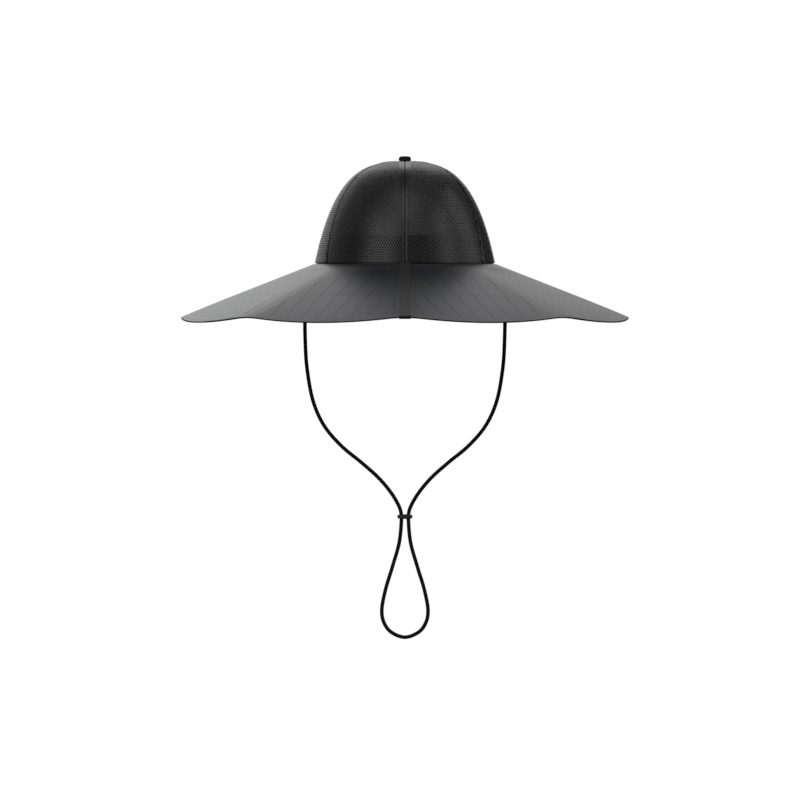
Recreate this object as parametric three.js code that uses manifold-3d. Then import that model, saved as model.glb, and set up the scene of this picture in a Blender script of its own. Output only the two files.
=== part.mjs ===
// A wide-brimmed sun hat with solar panels in its brim and a chin cord.
//
// The crown is six gores of net sewn to a band, with a covered button on top. The brim is one sheet of
// cloth that falls from the crown as an eight-sided roof with rounded hips. A thin solar laminate lies in a
// shallow pocket in each of its eight sides. A strap runs down the front hip and turns under the edge.
// A round cord hangs from two bosses under the brim, and both its runs go through a two-hole slider.
//
// Millimetres, +Z up, the front towards -Y, +X to the right as seen from the front. The origin is the
// middle of the head opening, level with the seam between the crown and the brim.

import * as THREE from "three";
import { mergeVertices } from "three/addons/utils/BufferGeometryUtils.js";
import Module from "manifold-3d";

const wasm = await Module();
wasm.setup();

const GAP = 0.3; // between pieces that are sewn or laid against each other
const degrees = THREE.MathUtils.degToRad;

// Crown. Its half width at a depth below the top is SPREAD * (1 - exp(-depth / FALL)) ** ROUND.
const CROWN_HEIGHT = 102.1;
const CROWN_SPREAD = 114.5;
const CROWN_FALL = 153;
const CROWN_ROUND = 0.329;
const LENGTH_RATIO = 1.18; // a head's opening is longer than it is wide
const NET_WALL = 1.2;
const TOP_HOLE = 3; // half width of the hole that the button closes
const GORE_COLUMNS = 8;
const GORE_ROWS = 12;

// The seams between gores. The side seams lean towards the sides as they rise.
const SEAM_LEAN = 10.4;
const SEAMS = [
  { name: "front", base: 0, lean: 0 },
  { name: "front_right", base: 59.6, lean: 1 },
  { name: "back_right", base: 120.4, lean: -1 },
  { name: "back", base: 180, lean: 0 },
  { name: "back_left", base: 239.6, lean: 1 },
  { name: "front_left", base: 300.4, lean: -1 },
];
const GORES = ["front_right", "right", "back_right", "back_left", "left", "front_left"];

// Tape over each seam, inside the crown, and the sweatband below it.
const TAPE_WIDTH = 9;
const TAPE_WALL = 1;
const TAPE_GAP = 0.7; // between the flats of the gores and of the tape
const TAPE_ROWS = 9;
const BAND_TOP = 27.7;
const BAND_BOTTOM = -1.6;
const BAND_WALL = 2;
const BAND_GAP = 0.5;
const BAND_COLUMNS = 48;

// Button on the crown: a flattened dome on a short shank.
const BUTTON_RADIUS = 6.2;
const BUTTON_HEIGHT = 5.4;
const SHANK_RADIUS = 2.4;
const SHANK_LENGTH = 2.8;

// Brim. Reach is the distance out from the crown's foot, and the hips fall in a straight line.
const BRIM_REACH = 133.6;
const BRIM_WALL = 2;
const EDGE_WALL = 1.4;
const HIP_SLOPE = 0.393;
const SIDE_SLOPE = 0.422; // the fall of a flat side down its middle
const SIDES = 8;
const HIP_ROUND = 0.089; // how far a hip's rounding reaches, as a share of the radius
const LEVEL_REACH = 20; // the sides flatten into the crown's level foot over this reach
const SAG_START = 30;
const FOOT_REACH = 0.6; // the level ledge that the crown stands on

// Solar laminates in the brim's pockets.
const POCKET_DEPTH = 0.9;
const POCKET_START = 12;
const POCKET_END = 124;
const HIP_MARGIN = 9; // from a hip to the pocket beside it
const SIDE_COLUMNS = 7;
const CLOTH_ROW = 6; // a row of points between the ledge and the pockets
const POCKET_ROWS = [28, 60, 92]; // and the rows inside them

// Edge binding and front strap.
const BINDING_WIDTH = 1;
const STRAP_WIDTH = 11.4;
const STRAP_WALL = 1;
const STRAP_GAP = 0.45;
const STRAP_RETURN = 18; // how far the strap's end runs back under the brim

// Chin cord: half of its route, from its end under the brim to the bottom of the loop.
const CORD_DIAMETER = 3.5;
const CORD_SIDES = 8;
const CORD_STEPS = 80;
const CORD_ROUTE = [
  { x: 100, z: -10 },
  { x: 100, z: -40 },
  { x: 99.8, z: -72 },
  { x: 97.9, z: -104 },
  { x: 91.2, z: -139 },
  { x: 80.2, z: -162.5 },
  { x: 62.9, z: -182.5 },
  { x: 43.5, z: -198.5 },
  { x: 25.7, z: -214.5 },
  { x: 12.6, z: -230.5 },
  { x: 5.4, z: -243.5 },
  { x: 3.7, z: -250 },
  { x: 3.6, z: -258 },
  { x: 5.7, z: -278.5 },
  { x: 12.4, z: -302.5 },
  { x: 19.6, z: -326.5 },
  { x: 23.1, z: -346.5 },
  { x: 21.5, z: -357.2 },
  { x: 14.8, z: -367.3 },
  { x: 0, z: -373.2 },
];

// Slider, and the boss that each end of the cord goes up into.
const SLIDER_LEVEL = -252.6;
const SLIDER_LENGTH = 15.6;
const SLIDER_DEPTH = 8.4;
const SLIDER_HEIGHT = 4.8;
const SLIDER_EDGE = 1.4;
const SLIDER_HOLE_AT = 3.8;
const SLIDER_HOLE_RADIUS = 2.35;
const BOSS_AT = 100;
const BOSS_FOOT = -17;
const BOSS_FOOT_RADIUS = 3.3;
const BOSS_TOP_RADIUS = 6.5;
const BOSS_BORE_RADIUS = 2.1;
const BOSS_BORE_TOP = -9.5;
const BOSS_BLANK_TOP = -2; // before its top is cut to the brim's slope

const CROWN_NET = new THREE.MeshStandardMaterial({ color: 0x2a2a2b, roughness: 0.75, metalness: 0 });
const TAPE_CLOTH = new THREE.MeshStandardMaterial({ color: 0x1b1b1c, roughness: 0.9, metalness: 0 });
const BAND_CLOTH = new THREE.MeshStandardMaterial({ color: 0x202022, roughness: 0.9, metalness: 0 });
const BUTTON_CLOTH = new THREE.MeshStandardMaterial({ color: 0x1a1a1b, roughness: 0.7, metalness: 0 });
const BRIM_CLOTH = new THREE.MeshStandardMaterial({ color: 0x58585a, roughness: 0.8, metalness: 0 });
const SOLAR_FILM = new THREE.MeshStandardMaterial({ color: 0x4c4e54, roughness: 0.5, metalness: 0 });
const STRAP_CLOTH = new THREE.MeshStandardMaterial({ color: 0x4a4a4c, roughness: 0.8, metalness: 0 });
const BINDING_TAPE = new THREE.MeshStandardMaterial({ color: 0x161617, roughness: 0.8, metalness: 0 });
const CORD_BRAID = new THREE.MeshStandardMaterial({ color: 0x141414, roughness: 0.8, metalness: 0 });
const SLIDER_RUBBER = new THREE.MeshStandardMaterial({ color: 0x303031, roughness: 0.55, metalness: 0 });

const hat = new THREE.Group();

/** Adds one named piece to the hat. */
function piece(name, geometry, material) {
  const mesh = new THREE.Mesh(geometry, material);
  mesh.name = name;
  hat.add(mesh);
  return mesh;
}

/** A closed geometry from quads of points, each given anticlockwise as seen from outside. */
function quadGeometry(quads) {
  const corners = [];
  for (const [a, b, c, d] of quads) {
    for (const p of [a, b, c, a, c, d]) corners.push(p.x, p.y, p.z);
  }
  const geometry = new THREE.BufferGeometry();
  geometry.setAttribute("position", new THREE.Float32BufferAttribute(corners, 3));
  const merged = mergeVertices(geometry, 1e-4);
  merged.computeVertexNormals();
  return merged;
}

/**
 * A sheet with thickness: outer(column, row) and inner(column, row) are its two faces. Columns run to the
 * right and rows run down, as seen from outside. A ring joins its last column to its first.
 */
function sheetGeometry(columns, rows, outer, inner, ring = false) {
  const quads = [];
  const next = (column) => (ring ? (column + 1) % columns : column + 1);
  for (let column = 0; column < columns; column++) {
    for (let row = 0; row < rows; row++) {
      const right = next(column);
      quads.push([outer(column, row), outer(column, row + 1), outer(right, row + 1), outer(right, row)]);
      quads.push([inner(column, row), inner(right, row), inner(right, row + 1), inner(column, row + 1)]);
    }
    const right = next(column);
    quads.push([outer(column, 0), outer(right, 0), inner(right, 0), inner(column, 0)]);
    quads.push([outer(column, rows), inner(column, rows), inner(right, rows), outer(right, rows)]);
  }
  if (!ring) {
    for (let row = 0; row < rows; row++) {
      quads.push([outer(0, row), inner(0, row), inner(0, row + 1), outer(0, row + 1)]);
      quads.push([
        outer(columns, row),
        outer(columns, row + 1),
        inner(columns, row + 1),
        inner(columns, row),
      ]);
    }
  }
  return quadGeometry(quads);
}

/** A manifold solid from a three.js geometry. */
function solid(geometry) {
  const bare = geometry.clone();
  bare.deleteAttribute("normal");
  bare.deleteAttribute("uv");
  const merged = mergeVertices(bare, 1e-4);
  return new wasm.Manifold(
    new wasm.Mesh({
      numProp: 3,
      vertProperties: merged.attributes.position.array,
      triVerts: new Uint32Array(merged.index.array),
    }),
  );
}

/** A three.js geometry from a manifold solid. */
function geometryOf(made) {
  const mesh = made.getMesh();
  const geometry = new THREE.BufferGeometry();
  geometry.setAttribute("position", new THREE.BufferAttribute(new Float32Array(mesh.vertProperties), 3));
  geometry.setIndex(new THREE.BufferAttribute(new Uint32Array(mesh.triVerts), 1));
  geometry.computeVertexNormals();
  return geometry;
}

/** A lathed profile of [radius, height] pairs, turned so that its axis is Z. */
function lathe(profile, segments) {
  const points = profile.map(([radius, height]) => new THREE.Vector2(radius, height));
  return new THREE.LatheGeometry(points, segments).rotateX(Math.PI / 2);
}

/** The crown's half width at a depth below its top. */
function crownWidth(depth) {
  return CROWN_SPREAD * (1 - Math.exp(-depth / CROWN_FALL)) ** CROWN_ROUND;
}

/** The depth at which the crown has a half width. */
function crownDepth(width) {
  return -CROWN_FALL * Math.log(1 - (width / CROWN_SPREAD) ** (1 / CROWN_ROUND));
}

/** How fast the crown falls as it widens, at a half width. */
function crownFall(width) {
  const share = (width / CROWN_SPREAD) ** (1 / CROWN_ROUND);
  return (CROWN_FALL * share) / (CROWN_ROUND * width * (1 - share));
}

/** A point at an angle and half width on the crown, moved inwards along the normal by inset. */
function crownPoint(angle, width, inset) {
  const fall = crownFall(width);
  const normal = new THREE.Vector3(
    fall * Math.sin(angle),
    (-fall * Math.cos(angle)) / LENGTH_RATIO,
    1,
  ).normalize();
  return new THREE.Vector3(
    width * Math.sin(angle),
    -width * LENGTH_RATIO * Math.cos(angle),
    CROWN_HEIGHT - crownDepth(width),
  ).addScaledVector(normal, -inset);
}

/** Half widths of the crown that are evenly spaced along its profile, from one half width to another. */
function evenWidths(from, to, rows) {
  const steps = 400;
  const lengths = [0];
  const width = (step) => from + ((to - from) * step) / steps;
  for (let step = 1; step <= steps; step++) {
    const rise = crownDepth(width(step)) - crownDepth(width(step - 1));
    lengths.push(lengths[step - 1] + Math.hypot(rise, (to - from) / steps));
  }
  const widths = [];
  for (let row = 0; row <= rows; row++) {
    const wanted = (lengths[steps] * row) / rows;
    const step = Math.max(1, lengths.findIndex((length) => length >= wanted - 1e-9));
    const share = (wanted - lengths[step - 1]) / (lengths[step] - lengths[step - 1]);
    widths.push(width(step - 1 + share));
  }
  return widths;
}

/** The angle of a seam at a half width of the crown. */
function seamAngle(index, width) {
  const seam = SEAMS[index % SEAMS.length];
  const turn = index >= SEAMS.length ? 360 : 0;
  const rise = 1 - crownDepth(width) / CROWN_HEIGHT;
  return degrees(seam.base + turn + seam.lean * SEAM_LEAN * rise);
}

/** One gore of net, from the button's hole down to the brim. */
function goreGeometry(index) {
  const foot = crownWidth(CROWN_HEIGHT - GAP);
  const widths = evenWidths(TOP_HOLE, foot, GORE_ROWS);
  const at = (column, row, inset) => {
    const width = widths[row];
    const half = GAP / 2 / width;
    const left = seamAngle(index, width) + half;
    const right = seamAngle(index + 1, width) - half;
    const point = crownPoint(left + ((right - left) * column) / GORE_COLUMNS, width, inset);
    if (row === GORE_ROWS) point.z = GAP;
    return point;
  };
  return sheetGeometry(
    GORE_COLUMNS,
    GORE_ROWS,
    (column, row) => at(column, row, 0),
    (column, row) => at(column, row, NET_WALL),
  );
}

/** Tape that covers one seam from inside, from the button's shank down to the sweatband. */
function tapeGeometry(index) {
  const foot = crownWidth(CROWN_HEIGHT - BAND_TOP) - BAND_GAP;
  const widths = evenWidths(TAPE_WIDTH, foot, TAPE_ROWS);
  const columns = 2;
  const at = (column, row, inset) => {
    const width = widths[row];
    const middle = seamAngle(index, width);
    const reach = width * Math.hypot(Math.cos(middle), LENGTH_RATIO * Math.sin(middle));
    const taper = row === 0 ? 0.5 : 1;
    const across = (column / columns - 0.5) * TAPE_WIDTH * taper;
    return crownPoint(middle + across / reach, width, inset);
  };
  const inset = NET_WALL + TAPE_GAP;
  return sheetGeometry(
    columns,
    TAPE_ROWS,
    (column, row) => at(column, row, inset),
    (column, row) => at(column, row, inset + TAPE_WALL),
  );
}

/** The sweatband, which lines the foot of the crown and covers the brim's inner edge. */
function bandGeometry() {
  const heights = [BAND_TOP, BAND_TOP / 2, 0, BAND_BOTTOM];
  const at = (column, row, inset) => {
    const angle = (2 * Math.PI * column) / BAND_COLUMNS;
    const width = crownWidth(CROWN_HEIGHT - Math.max(heights[row], 0));
    return new THREE.Vector3(
      (width - inset) * Math.sin(angle),
      -(width * LENGTH_RATIO - inset) * Math.cos(angle),
      heights[row],
    );
  };
  const inset = NET_WALL + BAND_GAP;
  return sheetGeometry(
    BAND_COLUMNS,
    heights.length - 1,
    (column, row) => at(column, row, inset),
    (column, row) => at(column, row, inset + BAND_WALL),
    true,
  );
}

/** The covered button and its shank. */
function buttonGeometry() {
  const foot = CROWN_HEIGHT + GAP;
  const top = foot + BUTTON_HEIGHT;
  return lathe(
    [
      [0, foot - SHANK_LENGTH],
      [SHANK_RADIUS, foot - SHANK_LENGTH],
      [SHANK_RADIUS, foot],
      [BUTTON_RADIUS * 0.84, foot],
      [BUTTON_RADIUS * 0.97, foot + BUTTON_HEIGHT * 0.22],
      [BUTTON_RADIUS, foot + BUTTON_HEIGHT * 0.42],
      [BUTTON_RADIUS * 0.95, foot + BUTTON_HEIGHT * 0.66],
      [BUTTON_RADIUS * 0.78, foot + BUTTON_HEIGHT * 0.87],
      [BUTTON_RADIUS * 0.5, top - BUTTON_HEIGHT * 0.03],
      [0, top],
    ],
    20,
  );
}

/** The larger of the cosines to the two nearest sides' middles, rounded where they meet at a hip. */
function sideCosine(angle) {
  const pitch = (2 * Math.PI) / SIDES;
  const beyondHip = ((angle % pitch) + pitch) % pitch;
  const fromMiddle = Math.abs(beyondHip - pitch / 2);
  const near = Math.cos(fromMiddle);
  const blend = Math.max(HIP_ROUND - (near - Math.cos(pitch - fromMiddle)), 0);
  return near + (blend * blend) / (4 * HIP_ROUND);
}

/** A point on top of the brim at an angle and a reach out from the crown, lowered by drop. */
function brimPoint(angle, reach, drop = 0) {
  const foot = crownWidth(CROWN_HEIGHT);
  const x = (foot + reach) * Math.sin(angle);
  const y = -(foot * LENGTH_RATIO + reach) * Math.cos(angle);
  const hip = -HIP_SLOPE * Math.max(reach - FOOT_REACH, 0);
  const level = THREE.MathUtils.smoothstep(reach, FOOT_REACH, LEVEL_REACH);
  const sag = SIDE_SLOPE * (Math.hypot(x, y) - SAG_START) * (sideCosine(angle) - sideCosine(0));
  return new THREE.Vector3(x, y, hip - level * sag - drop);
}

/** The angle at a share across one side of the brim, between margins that keep a width along the hips. */
function sideAngle(side, share, reach, margin) {
  const pitch = (2 * Math.PI) / SIDES;
  const edge = margin / (crownWidth(CROWN_HEIGHT) + reach);
  return side * pitch + edge + (pitch - 2 * edge) * share;
}

/** How thick the brim is at a reach: it thins from the pockets' outer edge to its own. */
function brimWall(reach) {
  return BRIM_WALL - (BRIM_WALL - EDGE_WALL) * THREE.MathUtils.smoothstep(reach, POCKET_END, BRIM_REACH);
}

/** The brim's cloth, with a shallow pocket in the top of each side. */
function brimGeometry() {
  const inner = -(NET_WALL + BAND_GAP - 2 * GAP);
  const outer = BRIM_REACH - BINDING_WIDTH - GAP;
  const reaches = [inner, FOOT_REACH, CLOTH_ROW, POCKET_START, ...POCKET_ROWS, POCKET_END, outer];
  const columns = SIDE_COLUMNS + 2;
  const total = SIDES * columns;
  const point = (column, row, drop) => {
    const side = Math.floor(column / columns);
    const within = column % columns;
    const reach = reaches[row];
    const share = (within - 1) / SIDE_COLUMNS;
    const angle = within ? sideAngle(side, share, reach, HIP_MARGIN) : sideAngle(side, 0, reach, 0);
    return brimPoint(angle, reach, drop);
  };
  const firstRow = reaches.indexOf(POCKET_START);
  const lastRow = reaches.indexOf(POCKET_END);
  const depth = (column, row) => {
    const within = ((column + total) % total) % columns;
    const pocket = within >= 1 && within <= SIDE_COLUMNS && row >= firstRow && row < lastRow;
    return pocket ? POCKET_DEPTH : 0;
  };
  const quads = [];
  for (let column = 0; column < total; column++) {
    const right = (column + 1) % total;
    for (let row = 0; row < reaches.length - 1; row++) {
      const here = depth(column, row);
      quads.push([
        point(column, row, here),
        point(column, row + 1, here),
        point(right, row + 1, here),
        point(right, row, here),
      ]);
      const low = brimWall(reaches[row]);
      const lower = brimWall(reaches[row + 1]);
      quads.push([
        point(column, row, low),
        point(right, row, low),
        point(right, row + 1, lower),
        point(column, row + 1, lower),
      ]);
      const left = depth(column - 1, row);
      if (left !== here) {
        quads.push([
          point(column, row, left),
          point(column, row + 1, left),
          point(column, row + 1, here),
          point(column, row, here),
        ]);
      }
      const above = row ? depth(column, row - 1) : here;
      if (above !== here) {
        quads.push([
          point(column, row, above),
          point(column, row, here),
          point(right, row, here),
          point(right, row, above),
        ]);
      }
    }
    const last = reaches.length - 1;
    const edge = brimWall(reaches[last]);
    quads.push([
      point(column, 0, 0),
      point(right, 0, 0),
      point(right, 0, BRIM_WALL),
      point(column, 0, BRIM_WALL),
    ]);
    quads.push([
      point(column, last, 0),
      point(column, last, edge),
      point(right, last, edge),
      point(right, last, 0),
    ]);
  }
  return quadGeometry(quads);
}

/** One solar laminate, flush with the brim around its pocket. */
function laminateGeometry(side) {
  const reaches = [POCKET_START + GAP, ...POCKET_ROWS, POCKET_END - GAP];
  const at = (column, row, drop) => {
    const share = column / SIDE_COLUMNS;
    return brimPoint(sideAngle(side, share, reaches[row], HIP_MARGIN + GAP), reaches[row], drop);
  };
  return sheetGeometry(
    SIDE_COLUMNS,
    reaches.length - 1,
    (column, row) => at(column, row, 0),
    (column, row) => at(column, row, POCKET_DEPTH - GAP),
  );
}

/** The binding along the brim's outer edge. */
function bindingGeometry() {
  const columns = SIDES * (SIDE_COLUMNS + 2);
  const at = (column, row, inward) => {
    const angle = (2 * Math.PI * column) / columns;
    return brimPoint(angle, BRIM_REACH - inward, row * EDGE_WALL);
  };
  return sheetGeometry(
    columns,
    1,
    (column, row) => at(column, row, 0),
    (column, row) => at(column, row, BINDING_WIDTH),
    true,
  );
}

/** The strap down the front hip: its side view, pulled out to its width. */
function strapGeometry() {
  const foot = crownWidth(CROWN_HEIGHT) * LENGTH_RATIO;
  const start = FOOT_REACH + GAP;
  const low = -EDGE_WALL - STRAP_GAP;
  const fall = (reach) => -HIP_SLOPE * (reach - FOOT_REACH);
  const side = new THREE.Shape();
  const end = BRIM_REACH + STRAP_GAP;
  const back = BRIM_REACH - STRAP_RETURN;
  const under = (reach) => fall(reach) - brimWall(reach) - STRAP_GAP;
  side.moveTo(start, fall(start) + STRAP_GAP);
  side.lineTo(end, fall(end) + STRAP_GAP);
  side.lineTo(end, fall(end) + low);
  for (const reach of [BRIM_REACH, POCKET_END + 4, POCKET_END, back]) side.lineTo(reach, under(reach));
  for (const reach of [back, POCKET_END, POCKET_END + 4]) side.lineTo(reach, under(reach) - STRAP_WALL);
  side.lineTo(end, fall(end) + low - STRAP_WALL);
  side.lineTo(end + STRAP_WALL * 0.7, fall(end) + low - STRAP_WALL * 0.7);
  side.lineTo(end + STRAP_WALL, fall(end) + low);
  side.lineTo(end + STRAP_WALL, fall(end) + STRAP_GAP);
  side.lineTo(end + STRAP_WALL * 0.6, fall(end) + STRAP_GAP + STRAP_WALL * 0.7);
  side.lineTo(start, fall(start) + STRAP_GAP + STRAP_WALL);
  const strap = new THREE.ExtrudeGeometry(side, { depth: STRAP_WIDTH, bevelEnabled: false });
  // The shape's x is the reach, towards the front, its y is up, and its depth runs across.
  const turn = new THREE.Matrix4().makeBasis(
    new THREE.Vector3(0, -1, 0),
    new THREE.Vector3(0, 0, 1),
    new THREE.Vector3(-1, 0, 0),
  );
  return strap.applyMatrix4(turn).translate(STRAP_WIDTH / 2, -foot, 0);
}

/** The whole chin cord, from its left end round the loop to its right end. */
function cordGeometry() {
  const left = CORD_ROUTE.map(({ x, z }) => new THREE.Vector3(-x, 0, z));
  const right = CORD_ROUTE.slice(0, -1).map(({ x, z }) => new THREE.Vector3(x, 0, z));
  const path = new THREE.CatmullRomCurve3([...left, ...right.reverse()]);
  const section = new THREE.Shape();
  for (let corner = 0; corner < CORD_SIDES; corner++) {
    const angle = (2 * Math.PI * corner) / CORD_SIDES;
    const x = (CORD_DIAMETER / 2) * Math.cos(angle);
    const y = (CORD_DIAMETER / 2) * Math.sin(angle);
    if (corner) section.lineTo(x, y);
    else section.moveTo(x, y);
  }
  section.closePath();
  return new THREE.ExtrudeGeometry(section, { steps: CORD_STEPS, extrudePath: path, bevelEnabled: false });
}

/** The slider: an oval pill with a hole for each run of the cord. */
function sliderGeometry() {
  const radius = SLIDER_DEPTH / 2 - SLIDER_EDGE;
  const half = SLIDER_LENGTH / 2 - SLIDER_EDGE - radius;
  const outline = new THREE.Shape();
  outline.absarc(half, 0, radius, -Math.PI / 2, Math.PI / 2, false);
  outline.absarc(-half, 0, radius, Math.PI / 2, (3 * Math.PI) / 2, false);
  const pill = new THREE.ExtrudeGeometry(outline, {
    depth: SLIDER_HEIGHT - 2 * SLIDER_EDGE,
    bevelThickness: SLIDER_EDGE,
    bevelSize: SLIDER_EDGE,
    bevelSegments: 3,
    curveSegments: 8,
  }).translate(0, 0, SLIDER_LEVEL - SLIDER_HEIGHT / 2 + SLIDER_EDGE);
  let made = solid(pill);
  for (const sign of [-1, 1]) {
    const hole = new THREE.CylinderGeometry(SLIDER_HOLE_RADIUS, SLIDER_HOLE_RADIUS, 3 * SLIDER_HEIGHT, 16)
      .rotateX(Math.PI / 2)
      .translate(sign * SLIDER_HOLE_AT, 0, SLIDER_LEVEL);
    made = made.subtract(solid(hole));
  }
  return geometryOf(made);
}

/** The boss under the brim on one side: a tapered plug cut to the brim's slope, with a blind bore below. */
function bossGeometry(sign) {
  const boss = lathe(
    [
      [0, BOSS_BORE_TOP],
      [BOSS_BORE_RADIUS, BOSS_BORE_TOP],
      [BOSS_BORE_RADIUS, BOSS_FOOT],
      [BOSS_FOOT_RADIUS, BOSS_FOOT],
      [BOSS_TOP_RADIUS, BOSS_BLANK_TOP],
      [0, BOSS_BLANK_TOP],
    ],
    16,
  ).translate(sign * BOSS_AT, 0, 0);
  const reach = BOSS_AT - crownWidth(CROWN_HEIGHT);
  const underside = brimPoint(Math.PI / 2, reach, BRIM_WALL + STRAP_GAP).z;
  const block = 6 * BOSS_TOP_RADIUS;
  const cut = new THREE.BoxGeometry(block, block, block)
    .translate(0, 0, block / 2)
    .rotateY(sign * Math.atan(HIP_SLOPE))
    .translate(sign * BOSS_AT, 0, underside);
  return geometryOf(solid(boss).subtract(solid(cut)));
}

GORES.forEach((name, index) => piece(`crown_panel_${name}`, goreGeometry(index), CROWN_NET));
SEAMS.forEach(({ name }, index) => piece(`seam_tape_${name}`, tapeGeometry(index), TAPE_CLOTH));
piece("sweatband", bandGeometry(), BAND_CLOTH);
piece("top_button", buttonGeometry(), BUTTON_CLOTH);
piece("brim", brimGeometry(), BRIM_CLOTH);
for (let side = 0; side < SIDES; side++) {
  piece(`solar_panel_${side + 1}`, laminateGeometry(side), SOLAR_FILM);
}
piece("edge_binding", bindingGeometry(), BINDING_TAPE);
piece("front_strap", strapGeometry(), STRAP_CLOTH);
piece("chin_cord", cordGeometry(), CORD_BRAID);
piece("cord_slider", sliderGeometry(), SLIDER_RUBBER);
piece("cord_boss_left", bossGeometry(-1), SLIDER_RUBBER);
piece("cord_boss_right", bossGeometry(1), SLIDER_RUBBER);

export default hat;
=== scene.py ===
"""The looks of a sun hat with solar laminates in its brim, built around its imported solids.

Sizes are in millimetres, and turn into metres where a mesh is made. +Z is up, the front is towards -Y,
and the origin is the middle of the head opening, level with the seam between the crown and the brim.
"""

import logging
import math
from dataclasses import dataclass, field
from enum import Enum
from typing import Any, Callable, Iterable

import bmesh
import bpy
import numpy as np
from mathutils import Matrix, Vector


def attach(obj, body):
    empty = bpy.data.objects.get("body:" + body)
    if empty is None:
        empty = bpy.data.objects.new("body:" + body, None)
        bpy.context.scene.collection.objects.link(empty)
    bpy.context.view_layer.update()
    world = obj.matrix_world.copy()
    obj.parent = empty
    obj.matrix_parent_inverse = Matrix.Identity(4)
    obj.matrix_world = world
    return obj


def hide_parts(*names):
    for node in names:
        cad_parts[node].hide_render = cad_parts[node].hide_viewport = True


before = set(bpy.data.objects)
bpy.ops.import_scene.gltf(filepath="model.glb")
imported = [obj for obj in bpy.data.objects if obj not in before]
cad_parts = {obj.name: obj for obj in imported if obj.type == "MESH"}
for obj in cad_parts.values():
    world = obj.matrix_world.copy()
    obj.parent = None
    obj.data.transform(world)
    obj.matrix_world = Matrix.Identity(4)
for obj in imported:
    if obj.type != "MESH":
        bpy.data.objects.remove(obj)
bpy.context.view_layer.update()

MM = 0.001
BODY = "root"
TURN = 2 * math.pi
MATH = "ShaderNodeMath"
LAID = "laid_mm"

log = logging.getLogger("solar_hat")


class Slot(Enum):
    """The record's material slots."""

    NET = "crown_net"
    TAPE = "tape"
    BAND = "band_cloth"
    BUTTON = "button_cloth"
    BRIM = "brim_cloth"
    FILM = "solar_film"
    BINDING = "binding"
    STRAP = "strap_webbing"
    CORD = "cord"
    RUBBER = "slider_rubber"


class Weave(Enum):
    """How a cloth's threads cross."""

    PLAIN = "plain"
    TWILL = "twill"
    KNIT = "knit"


def linear(colour: str) -> tuple[float, float, float, float]:
    """Turns an sRGB hex colour such as "#4a4a4c" into a linear one with alpha."""
    channels = [int(colour[i : i + 2], 16) / 255 for i in (1, 3, 5)]
    return (*(c / 12.92 if c <= 0.04045 else ((c + 0.055) / 1.055) ** 2.4 for c in channels), 1.0)


def add_node(tree: bpy.types.NodeTree, kind: str, inputs: Any = (), **settings: Any) -> bpy.types.Node:
    """Adds a node to a tree.

    Args:
        tree: the node tree, of a material, the world or a modifier.
        kind: the node's type name.
        inputs: what each input is set to or linked from, by name or in order. A node stands for its first
            output.
        settings: the node's own properties.

    Returns:
        The new node.
    """
    node = tree.nodes.new(kind)
    for name, value in settings.items():
        setattr(node, name, value)
    for key, value in inputs.items() if isinstance(inputs, dict) else enumerate(inputs):
        if isinstance(value, bpy.types.Node):
            value = value.outputs[0]
        if isinstance(value, bpy.types.NodeSocket):
            tree.links.new(value, node.inputs[key])
        else:
            node.inputs[key].default_value = value
    return node


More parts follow.
